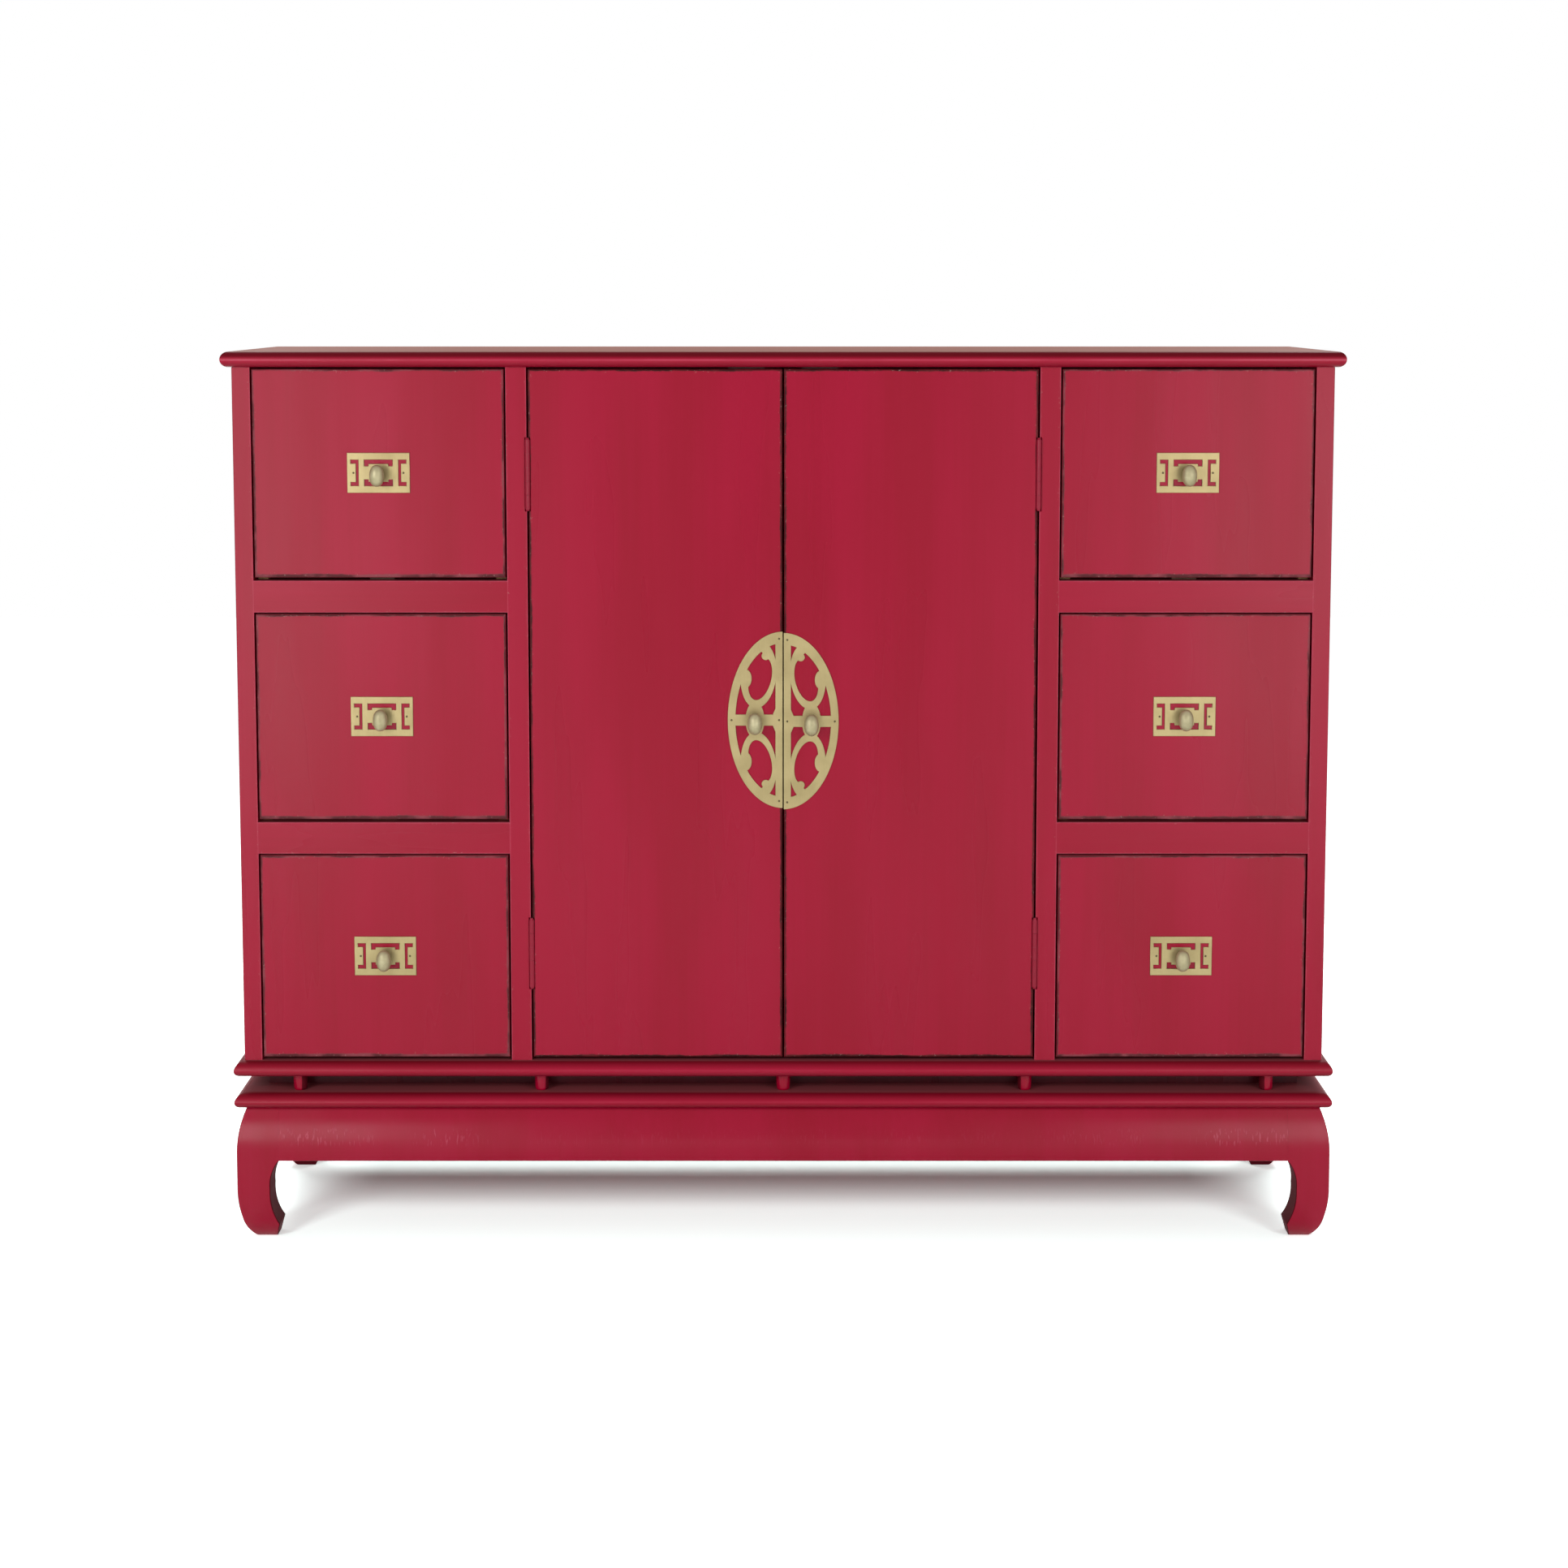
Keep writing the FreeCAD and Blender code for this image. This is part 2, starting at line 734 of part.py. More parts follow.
def build_hinges():
    """Leaves on the case, leaves on each door, and the pins."""
    thick = size("leaf_thick")
    case_leaves = []
    pins = []
    for name, side in SIDES.items():
        door_leaves = []
        for level in hinge_levels().values():
            case_leaves.append(hinge_leaf(side, level, 0, side * (CUPBOARD_X - thick / 2)))
            door_edge = CUPBOARD_X - size("front_gap")
            door_leaves.append(hinge_leaf(side, level, 1, side * (door_edge + thick / 2)))
            pins.append(hinge_pin(side, level))
        node(f"{name}_door_hinge_leaves", group(door_leaves))
    node("case_hinge_leaves", group(case_leaves))
    node("hinge_pins", group(pins))


def knob_ball(half_width, half_height):
    """The oval ball of a knob: half of its outline in three arcs, turned about its upright axis."""
    body = DOC.addObject("PartDesign::Body", "ball")
    half = body_sketch(body, "half_outline")
    tip = size("knob_tip_radius")
    turn_x = half_width * size("knob_turn_x_share")
    turn_z = half_height * size("knob_turn_z_share")
    end_x = half_width * size("knob_end_x_share")
    end_z = half_height * size("knob_end_z_share")
    outline(half, [
        (0, -half_height),
        (tip, -half_height),
        ((end_x, -end_z), (turn_x, -turn_z)),
        ((half_width, 0), (turn_x, turn_z)),
        ((end_x, end_z), (tip, half_height)),
        (0, half_height),
    ])
    turned = body.newObject("PartDesign::Revolution", "turned")
    turned.Profile = half
    turned.ReferenceAxis = (half, ["V_Axis"])
    turned.Angle = 360
    DOC.recompute()
    return body


def knob(x, z):
    """An oval knob on a short flared stem."""
    ball = knob_ball(size("knob_width") / 2, size("knob_height") / 2)
    out = size("knob_reach") - size("knob_width") / 2
    place(ball, x, PLATE_FRONT_Y - out, z)
    stem = DOC.addObject("Part::Cone", "stem")
    stem.Placement = FreeCAD.Placement(FreeCAD.Vector(), FRONT_VIEW)
    bind(stem, "Radius1", size("knob_foot_radius"))
    bind(stem, "Radius2", size("knob_neck_radius"))
    bind(stem, "Height", out)
    place(stem, x, PLATE_FRONT_Y, z)
    return fuse([ball, stem])


def oval(half_width, half_height, x, z, lean):
    """An upright elliptical slab of plate, its top leaning sideways by some degrees."""
    tilt = FreeCAD.Rotation(FreeCAD.Vector(0, 1, 0), lean)
    upright = FreeCAD.Rotation(
        FreeCAD.Vector(0, 0, 1), FreeCAD.Vector(-1, 0, 0), FreeCAD.Vector(0, -1, 0), "ZXY")
    ellipse = DOC.addObject("Part::Ellipse", "ellipse")
    ellipse.Placement = FreeCAD.Placement(FreeCAD.Vector(), tilt.multiply(upright))
    bind(ellipse, "MajorRadius", half_height)
    bind(ellipse, "MinorRadius", half_width)
    place(ellipse, x, DRAWN_FRONT_Y, z)
    return sheet_metal(ellipse)


def sheet_metal(flat):
    """Give a flat outline on the front's face the thickness of plate."""
    metal = DOC.addObject("Part::Extrusion", "sheet_metal")
    metal.Base = flat
    metal.DirMode = "Custom"
    metal.Dir = FreeCAD.Vector(0, -1, 0)
    metal.Solid = True
    bind(metal, "LengthFwd", size("plate_thick"))
    return metal


def plate_shape(path):
    """A straight-sided piece of plate on the front's face."""
    flat = profile(FRONT_VIEW, path)
    bind(flat, "Placement.Base.y", DRAWN_FRONT_Y)
    return sheet_metal(flat)


def plate_board(side, near, far, low, high):
    """A rectangular piece of plate between two distances from the middle of the doors."""
    return plate_shape([(side * near, low), (side * far, low), (side * far, high), (side * near, high)])


def scroll(side, up, mid_z):
    """One open scroll of the plate: a leaning oval ring, cut away at the rim between two lobes."""
    half_width = size("oval_half_width")
    half_height = size("oval_half_height")

    def across(share):
        return side * half_width * size(share)

    def level(share):
        return mid_z + up * half_height * size(share)

    ring = oval(half_width * size("scroll_width_share"), half_height * size("scroll_height_share"),
                across("scroll_x_share"), level("scroll_z_share"), -side * up * number(size("scroll_tilt")))
    eye = oval(half_width * size("eye_width_share"), half_height * size("eye_height_share"),
               across("eye_x_share"), level("eye_z_share"), -side * up * number(size("eye_tilt")))
    side_lobe = (across("side_lobe_x_share"), level("side_lobe_z_share"))
    top_lobe = (across("top_lobe_x_share"), level("top_lobe_z_share"))
    top_radius = half_width * size("top_lobe_share")
    mouth = plate_shape([
        (across("eye_x_share"), level("eye_z_share")),
        side_lobe,
        (side_lobe[0], top_lobe[1] + up * top_radius),
        (top_lobe[0] + side * top_radius, top_lobe[1] + up * top_radius),
        top_lobe,
    ])
    lobes = [
        oval(half_width * size("side_lobe_share"), half_height * size("side_lobe_share"), *side_lobe, 0),
        oval(top_radius, top_radius, *top_lobe, 0),
    ]
    return [cut(ring, fuse([eye, mouth]))] + lobes


def door_plate(side):
    """Half of the pierced oval: rim, strip, bar with boss, lug and two scrolls."""
    mid_z = plate_middle(side)
    half_width = size("oval_half_width")
    half_height = size("oval_half_height")
    near = size("plate_gap") / 2
    tip = size("lug_width")
    face = common([
        oval(half_width, half_height, MIDDLE, mid_z, 0),
        plate_board(side, near, half_width, mid_z - half_height, mid_z + half_height),
    ])
    opening = oval(half_width - size("rim_side"), half_height - size("rim_end"), MIDDLE, mid_z, 0)
    bar = size("plate_bar_height") / 2
    flat = size("lug_flat_height") / 2
    tall = size("lug_height") / 2
    strip = size("strip_width")
    lug = plate_shape([
        (side * near, mid_z - tall), (side * strip, mid_z - tall), (side * tip, mid_z - flat),
        (side * tip, mid_z + flat), (side * strip, mid_z + tall), (side * near, mid_z + tall),
    ])
    inner = [
        plate_board(side, near, strip, mid_z - half_height, mid_z + half_height),
        plate_board(side, near, half_width, mid_z - bar, mid_z + bar),
        oval(size("boss_half_width"), size("boss_half_height"), side * size("boss_offset"), mid_z, 0),
        lug,
    ]
    for up in (1, -1):
        inner += scroll(side, up, mid_z)
    return fuse([cut(face, opening), common([fuse(inner), face])])


def plate_middle(side):
    """Height of a door plate's middle: the two halves were nailed on a little out of line."""
    return CASE_FOOT + size("case_height") / 2 - size("plate_drop") - side * size("plate_step") / 2


def build_doors():
    """Two inset doors with their plates, knobs and strike plates."""
    width = CUPBOARD_X - size("front_gap") * 3 / 2
    height = size("case_height") - size("front_gap") - size("foot_gap")
    back = DRAWN_FRONT_Y + size("door_thick")
    for name, side in SIDES.items():
        mid_x = side * (size("front_gap") / 2 + width / 2)
        body, pad = slab(width, height, size("door_thick"), mid_x, back, CASE_FOOT + size("foot_gap"))
        soften_front(body, pad, size("front_round"))
        node(f"{name}_door_panel", cut(body, barrel_recess(side)))
        node(f"{name}_door_plate", door_plate(side))
        node(f"{name}_door_knob", knob(side * size("boss_offset"), plate_middle(side) - size("knob_drop")))
        strike_low = CASE_TOP - size("catch_height") / 2 - size("strike_height") / 2
        node(f"{name}_door_strike", board(
            side * size("catch_offset"), back, strike_low,
            size("strike_width"), size("strike_thick"), size("strike_height")))


def bracket(hand):
    """Outline of a square bracket cut in a drawer plate, its back towards the knob."""
    outer = size("pull_width") / 2 - size("pull_end_margin")
    inner = outer - size("bracket_reach")
    tall = size("pull_height") / 2 - size("pull_edge_margin")
    low = tall - size("bracket_bar")
    post = inner + size("bracket_post")
    corners = ((outer, tall), (inner, tall), (inner, -tall), (outer, -tall),
               (outer, -low), (post, -low), (post, low), (outer, low))
    return [(hand * x, z) for x, z in corners]


def staple(up):
    """Outline of a long slot with two short feet, above or below the knob."""
    tall = size("pull_height") / 2 - size("pull_edge_margin")
    half = size("slot_length") / 2
    foot = half - size("slot_foot_width")
    under = tall - size("slot_bar")
    end = under - size("slot_foot_drop")
    corners = ((half, tall), (-half, tall), (-half, end), (-foot, end),
               (-foot, under), (foot, under), (foot, end), (half, end))
    return [(x, up * z) for x, z in corners]


def drawer_plate(mid_x, mid_z):
    """A rectangular plate pierced by two brackets and two staples."""
    body = DOC.addObject("PartDesign::Body", "drawer_plate")
    face = body_sketch(body, "face")
    half_width = size("pull_width") / 2
    half_height = size("pull_height") / 2
    outline(face, [(-half_width, -half_height), (half_width, -half_height),
                   (half_width, half_height), (-half_width, half_height)])
    pad = body.newObject("PartDesign::Pad", "thickness")
    pad.Profile = face
    bind(pad, "Length", size("plate_thick"))
    DOC.recompute()
    piercing = body_sketch(body, "piercing")
    for sign in (1, -1):
        outline(piercing, bracket(sign))
        outline(piercing, staple(sign))
    pocket = body.newObject("PartDesign::Pocket", "openwork")
    pocket.Profile = piercing
    pocket.Type = "ThroughAll"
    pocket.Midplane = True
    place(body, mid_x, DRAWN_FRONT_Y, mid_z)
    return body


def drawer_box(mid_x, foot):
    """Two sides, a back and a bottom panel; the drawer's front closes the fourth side."""
    front = DRAWN_FRONT_Y + size("drawer_front_thick")
    width = size("drawer_bay_width") - size("box_side_gap") * 2
    depth = PANEL_BACK_Y - size("box_back_gap") - front
    thick = size("box_side_thick")
    clear_width = width - thick * 2
    low = foot + size("running_gap")
    floor = low + size("bottom_lift")
    back_foot = floor + size("box_bottom_thick")
    sides = [
        board(mid_x + hand * (width - thick) / 2, front, low, thick, depth, size("box_height"))
        for hand in SIDES.values()
    ]
    bottom = board(mid_x, front, floor, clear_width, depth, size("box_bottom_thick"))
    back = board(mid_x, front + depth - thick, back_foot, clear_width, thick,
                 low + size("box_height") - back_foot)
    return group(sides + [bottom, back])


def build_drawers():
    """Six drawers alike, each with its front, box, plate and knob."""
    width = size("drawer_bay_width") - size("front_gap") * 2
    height = BAY_HEIGHT - size("front_gap") - size("foot_gap")
    thick = size("drawer_front_thick")
    for side_name, side in SIDES.items():
        for row, level_name in enumerate(LEVELS):
            drawer = f"{side_name}_{level_name}_drawer"
            mid_x = side * BAY_MID_X
            foot = bay_foot(row)
            plate_z = foot + BAY_HEIGHT / 2 + size("pull_lift")
            body, pad = slab(width, height, thick, mid_x, DRAWN_FRONT_Y + thick, foot + size("foot_gap"))
            node(f"{drawer}_front", soften_front(body, pad, size("front_round")))
            node(f"{drawer}_box", drawer_box(mid_x, foot))
            node(f"{drawer}_plate", drawer_plate(mid_x, plate_z))
            node(f"{drawer}_knob", knob(mid_x, plate_z - size("knob_drop")))


def check_model():
    """Stop if any feature failed or any sub-part is empty or not a valid solid."""
    for thing in DOC.Objects:
        if {"Invalid", "Error"} & set(thing.State):
            raise RuntimeError(f"{thing.Label} ({thing.Name}) failed: {thing.State}")
    for thing in NODES:
        if thing.Shape.isNull() or not thing.Shape.Solids or not thing.Shape.isValid():
            raise RuntimeError(f"{thing.Label} has no valid solid")


def main():
    """Build every sub-part, check them and write one file for each."""
    build_boards()
    build_case()
    build_cupboard()
    build_waist()
    build_stand()
    build_hinges()
    build_doors()
    build_drawers()
    DOC.recompute()
    check_model()
    os.makedirs("parts", exist_ok=True)
    for thing in NODES:
        thing.Shape.exportStep(f"parts/{thing.Label}.step")
    print(f"{len(NODES)} sub-parts written")


main()
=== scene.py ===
"""A red lacquered sideboard on a low hoof-footed stand, with pierced brass plates, in a plain studio."""

import logging
import math
from collections.abc import Callable, Iterable
from dataclasses import dataclass
from enum import Enum

import bmesh
import bpy
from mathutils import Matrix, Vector


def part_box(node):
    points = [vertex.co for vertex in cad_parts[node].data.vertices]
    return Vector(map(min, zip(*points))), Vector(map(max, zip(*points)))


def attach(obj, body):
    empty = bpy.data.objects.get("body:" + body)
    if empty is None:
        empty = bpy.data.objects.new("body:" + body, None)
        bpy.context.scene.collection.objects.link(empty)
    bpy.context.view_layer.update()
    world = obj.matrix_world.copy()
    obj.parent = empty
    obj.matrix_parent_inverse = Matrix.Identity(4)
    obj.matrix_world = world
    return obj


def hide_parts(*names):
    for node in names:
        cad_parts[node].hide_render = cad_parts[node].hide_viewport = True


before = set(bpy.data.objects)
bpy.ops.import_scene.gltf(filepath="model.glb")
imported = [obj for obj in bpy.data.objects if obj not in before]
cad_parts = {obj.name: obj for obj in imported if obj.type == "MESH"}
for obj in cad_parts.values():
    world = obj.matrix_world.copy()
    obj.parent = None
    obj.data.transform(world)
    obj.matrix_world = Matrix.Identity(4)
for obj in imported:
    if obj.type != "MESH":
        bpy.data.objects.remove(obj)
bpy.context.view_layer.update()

LOG = logging.getLogger("sideboard")
MM = 0.001
SIDES = {"left": -1, "right": 1}
LEVELS = ("bottom", "middle", "top")
SMOOTH_ANGLE = math.radians(35)
FLAT_ANGLE = math.radians(0.5)
FULL_TURN = 2 * math.pi
WELD_REACH = 0.01 * MM

# Half of a size that puts an edge out of reach of an edge band
FAR = 1.0
# Noise seldom leaves this range
NOISE_LOW, NOISE_HIGH = 0.3, 0.7
# The sockets of a Mix node, for colours and for values
COLOUR_A, COLOUR_B, BLEND = 6, 7, 2
VALUE_A, VALUE_B = 2, 3

Colour = tuple[float, float, float, float]
Socket = bpy.types.NodeSocket
Tree = bpy.types.NodeTree
Inputs = dict[int | str, object] | tuple[object, ...]
# A layer's share, its hex colour and how dull it is
Layer = tuple[Socket, str, float]
# The width and length of a mark that a tool or the grain leaves
Stroke = tuple[float, float]


def colour(code: str) -> Colour:
    """Turn an sRGB hex code into the linear colour that a shader takes.

    Args:
        code: Six hex digits after a hash sign.

    Returns:
        Linear red, green and blue, and an alpha of one.
    """
    shares = [int(code[start:start + 2], 16) / 255 for start in (1, 3, 5)]
    linear = [share / 12.92 if share <= 0.04045 else ((share + 0.055) / 1.055) ** 2.4 for share in shares]
    return (*linear, 1.0)


def add_node(tree: Tree, kind: str, inputs: Inputs = (), out: int | str = 0, **settings: object) -> Socket:
    """Add one shader node, set it up and feed its input sockets.

    Args:
        tree: The node tree of a material or of the world.
        kind: The node's type, without its ShaderNode prefix.
        inputs: What each input reads or keeps, by name or in order. A MapRange node's are a value, the ends
            of the range that it is read in, and what these two become.
        out: The output that is wanted.
        settings: Properties of the node itself.

    Returns:
        The output socket, or None from a node that ends the tree.
    """
    node = tree.nodes.new(f"ShaderNode{kind}")
    for name, value in settings.items():
        setattr(node, name, value)
    for name, source in inputs.items() if isinstance(inputs, dict) else enumerate(inputs):
        if isinstance(source, Socket):
            tree.links.new(source, node.inputs[name])
        else:
            node.inputs[name].default_value = source
    return node.outputs[out] if node.outputs else None


class Axis(Enum):
    """A direction in Object coordinates: the way that a brush was drawn or that a board's grain runs."""

    X = 0
    Y = 1
    Z = 2

    def drawn_out(self, width: float, length: float) -> tuple[float, float, float]:
        """Texture scales for streaks of a width and a length, in metres, along this axis."""
        return tuple(1 / (length if axis is self else width) for axis in Axis)


def facing(tree: Tree, axis: Axis) -> Socket:
    """How far a face looks along an axis of Object coordinates."""
    normal = add_node(tree, "TexCoord", out="Normal")
    return add_node(tree, "SeparateXYZ", (normal,), axis.value)


def patches(tree: Tree, place: Socket, size: float, *ends: float, detail: float = 2.0) -> Socket:
    """Soft patches of about a size in metres, with the ends of a MapRange node."""
    cloud = add_node(tree, "TexNoise", {"Vector": place, "Scale": 1 / size, "Detail": detail})
    return add_node(tree, "MapRange", (cloud, *ends))


def streaks(tree: Tree, place: Socket, along: Axis, stroke: Stroke) -> Socket:
    """Noise drawn out along one axis, as a brush, a plane or rubbing leaves it."""
    drawn = add_node(tree, "Mapping", {"Vector": place, "Scale": along.drawn_out(*stroke)})
    return add_node(tree, "TexNoise", {"Vector": drawn, "Scale": 1.0, "Detail": 2.0})


@dataclass(frozen=True)
class Finish:
    """What every finish has: a name for the real material and process, and its record slot."""

    label: str = ""
    slot: str = ""

    def shade(self, tree: Tree, place: Socket) -> Socket:
        """Build the finish's shader nodes.

        Args:
            tree: The material's nodes.
            place: Object coordinates.

        Returns:
            The shader socket.
        """
        raise NotImplementedError

    def material(self) -> bpy.types.Material:
        """Make the Blender material of this finish once.

        Returns:
            The material.
        """
        made = bpy.data.materials.get(self.label)
        if made is not None:
            return made
        made = bpy.data.materials.new(self.label)
        made.use_nodes = True
        tree = made.node_tree
        tree.nodes.clear()
        shader = self.shade(tree, add_node(tree, "TexCoord", out="Object"))
        add_node(tree, "OutputMaterial", {"Surface": shader})
        return made


@dataclass(frozen=True)
class WearAndPaintedLight:
    """Layers over a lacquer's red: what time has done to it, and painted highlights and shade."""

    def layers(self, tree: Tree, place: Socket) -> list[Layer]:
        """Build the nodes of the layers.

        Args:
            tree: The material's nodes.
            place: Object coordinates.

        Returns:
            The layers, lowest first.
        """
        raise NotImplementedError


@dataclass(frozen=True)
class EdgeWearAndPaintedLight(WearAndPaintedLight):
    """A band along a frame of edges in Object coordinates, in metres: rubbing, and in pale colours a painted
    highlight.

    The distance to an edge is half minus how far a point lies from the centre, on each axis. A fold repeats
    the frame at two places on both sides of the centre, as on a pair of rails.
    """

    centre: tuple[float, float, float]
    half: tuple[float, float, float]
    fold: tuple[float, float, float] = (0.0, 0.0, 0.0)
    width: float = 2.2 * MM
    fade: float = 1.1 * MM
    ragged: float = 0.9 * MM
    share: float = 0.92
    bare_share: float = 0.9
    chip_share: float = 0.45
    wander: float = 55 * MM
    nick: float = 5 * MM
    bare_patch: float = 30 * MM
    chip_size: float = 2.4 * MM
    chip_reach: float = 3.5 * MM
    ground: str = "#83434a"
    bare: str = "#431a1c"
    chip: str = "#b08f88"

    def distance(self, tree: Tree, place: Socket) -> Socket:
        """Build the nodes that measure how far a point is from the nearest rubbed edge.

        Args:
            tree: The material's nodes.
            place: Object coordinates.

        Returns:
            The distance in metres.
        """
        away = place
        for middle in (self.centre, self.fold):
            offset = add_node(tree, "VectorMath", (away, middle), operation="SUBTRACT")
            away = add_node(tree, "VectorMath", (offset,), operation="ABSOLUTE")
        inside = add_node(tree, "VectorMath", (self.half, away), operation="SUBTRACT")
        parts = add_node(tree, "SeparateXYZ", (inside,)).node.outputs
        return add_node(tree, "Math", (parts["X"], parts["Z"]), operation="MINIMUM")

    def layers(self, tree: Tree, place: Socket) -> list[Layer]:
        """The band along the edges, darker patches in it, and a few pale chips beside it.

        Args:
            tree: The material's nodes.
            place: Object coordinates.

        Returns:
            The layers, lowest first.
        """
        reach = self.distance(tree, place)
        slow = patches(tree, place, self.wander, NOISE_LOW, NOISE_HIGH, -self.ragged, self.ragged)
        fine = patches(tree, place, self.nick, NOISE_LOW, NOISE_HIGH, -self.ragged / 2, self.ragged / 2,
                       detail=4.0)
        waver = add_node(tree, "Math", (slow, fine), operation="ADD")
        uneven = add_node(tree, "Math", (reach, waver), operation="ADD")
        front = add_node(tree, "MapRange", (facing(tree, Axis.Y), -0.3, -0.8, 0, self.share))
        band = add_node(tree, "MapRange", (uneven, self.width + self.fade, self.width - self.fade / 2))
        band = add_node(tree, "Math", (band, front), operation="MULTIPLY")
        patch = patches(tree, place, self.bare_patch, 0.4, 0.54, 0, self.bare_share, detail=4.0)
        patch = add_node(tree, "Math", (band, patch), operation="MULTIPLY")
        near = add_node(tree, "MapRange", (reach, self.width + self.chip_reach, self.width))
        chips = patches(tree, place, self.chip_size, 0.66, 0.7, 0, self.chip_share, detail=3.0)
        chips = add_node(tree, "Math", (near, chips), operation="MULTIPLY")
        return [(band, self.ground, 0.5), (patch, self.bare, 0.6), (chips, self.chip, 0.6)]


@dataclass(frozen=True)
class PaintedNoseLight(WearAndPaintedLight):
    """Painted light on a moulding: a pale highlight line along its nose, and painted shade above and below
    it.
    """

    level: float
    shade_starts_above: float = 1.2 * MM
    shade_reach: float = 9.5 * MM
    shade_starts_below: float = 1.5 * MM
    shade_drop: float = 6 * MM
    shade_above_share: float = 0.85
    shade_below_share: float = 0.4
    highlight_width: float = 1.7 * MM
    highlight_core: float = 0.2 * MM
    highlight_share: float = 0.1
    highlight_stretch: float = 120 * MM
    # Painted highlight along the nose, then the painted shade above and below it
    line: str = "#cf4d68"
    painted_shade: str = "#5a0a13"

    def layers(self, tree: Tree, place: Socket) -> list[Layer]:
        """Painted shade above and below the nose, and a painted highlight line along it, brighter in some
        stretches.

        Args:
            tree: The material's nodes.
            place: Object coordinates.

        Returns:
            The layers, lowest first.
        """
        height = add_node(tree, "SeparateXYZ", (place,), "Z")
        rise = add_node(tree, "Math", (height, self.level), operation="SUBTRACT")
        # Painted shade above and below the nose
        above = add_node(tree, "MapRange", (rise, self.shade_starts_above, self.shade_reach, 0, self.shade_above_share))
        below = add_node(tree, "MapRange", (rise, -self.shade_starts_below, -self.shade_drop, 0, self.shade_below_share))
        off = add_node(tree, "Math", (rise,), operation="ABSOLUTE")
        # Painted highlight along the nose, brighter in some stretches
        line = add_node(tree, "MapRange", (off, self.highlight_width, self.highlight_core, 0, self.highlight_share))
        highlight_stretch = patches(tree, place, self.highlight_stretch, 0.36, 0.62, 0.25, 1, detail=4.0)
        line = add_node(tree, "Math", (line, highlight_stretch), operation="MULTIPLY")
        return [(above, self.painted_shade, 0.7), (below, self.painted_shade, 0.2), (line, self.line, 0.0)]


@dataclass(frozen=True)
class DriedTicks(WearAndPaintedLight):
    """Small upright cracks where the lacquer dried on the swelling of an apron, in clusters near the legs."""

    level: float
    reach: float = 12 * MM
    full_reach: float = 5 * MM
    inner: float = 340 * MM
    outer: float = 440 * MM
    inner_share: float = 0.15
    cluster: float = 90 * MM
    tick: Stroke = (2 * MM, 22 * MM)
    share: float = 0.35
    # Pale lips of the cracks: a painted highlight
    lip_highlight: str = "#d0637a"

    def layers(self, tree: Tree, place: Socket) -> list[Layer]:
        """The cracks' pale lips: a painted highlight where light catches them.

        Args:
            tree: The material's nodes.
            place: Object coordinates.

        Returns:
            One layer.
        """
        parts = add_node(tree, "SeparateXYZ", (place,)).node.outputs
        rise = add_node(tree, "Math", (parts["Z"], self.level), operation="SUBTRACT")
        off = add_node(tree, "Math", (rise,), operation="ABSOLUTE")
        aside = add_node(tree, "Math", (parts["X"],), operation="ABSOLUTE")
        marks = add_node(tree, "MapRange", (off, self.reach, self.full_reach))
        for share in (add_node(tree, "MapRange", (aside, self.inner, self.outer, self.inner_share, 1)),
                      patches(tree, place, self.cluster, 0.4, 0.52, detail=1.0),
                      add_node(tree, "MapRange", (streaks(tree, place, Axis.Z, self.tick), 0.58, 0.66, 0,
                                                  self.share))):
            marks = add_node(tree, "Math", (marks, share), operation="MULTIPLY")
        return [(marks, self.lip_highlight, 0.0)]


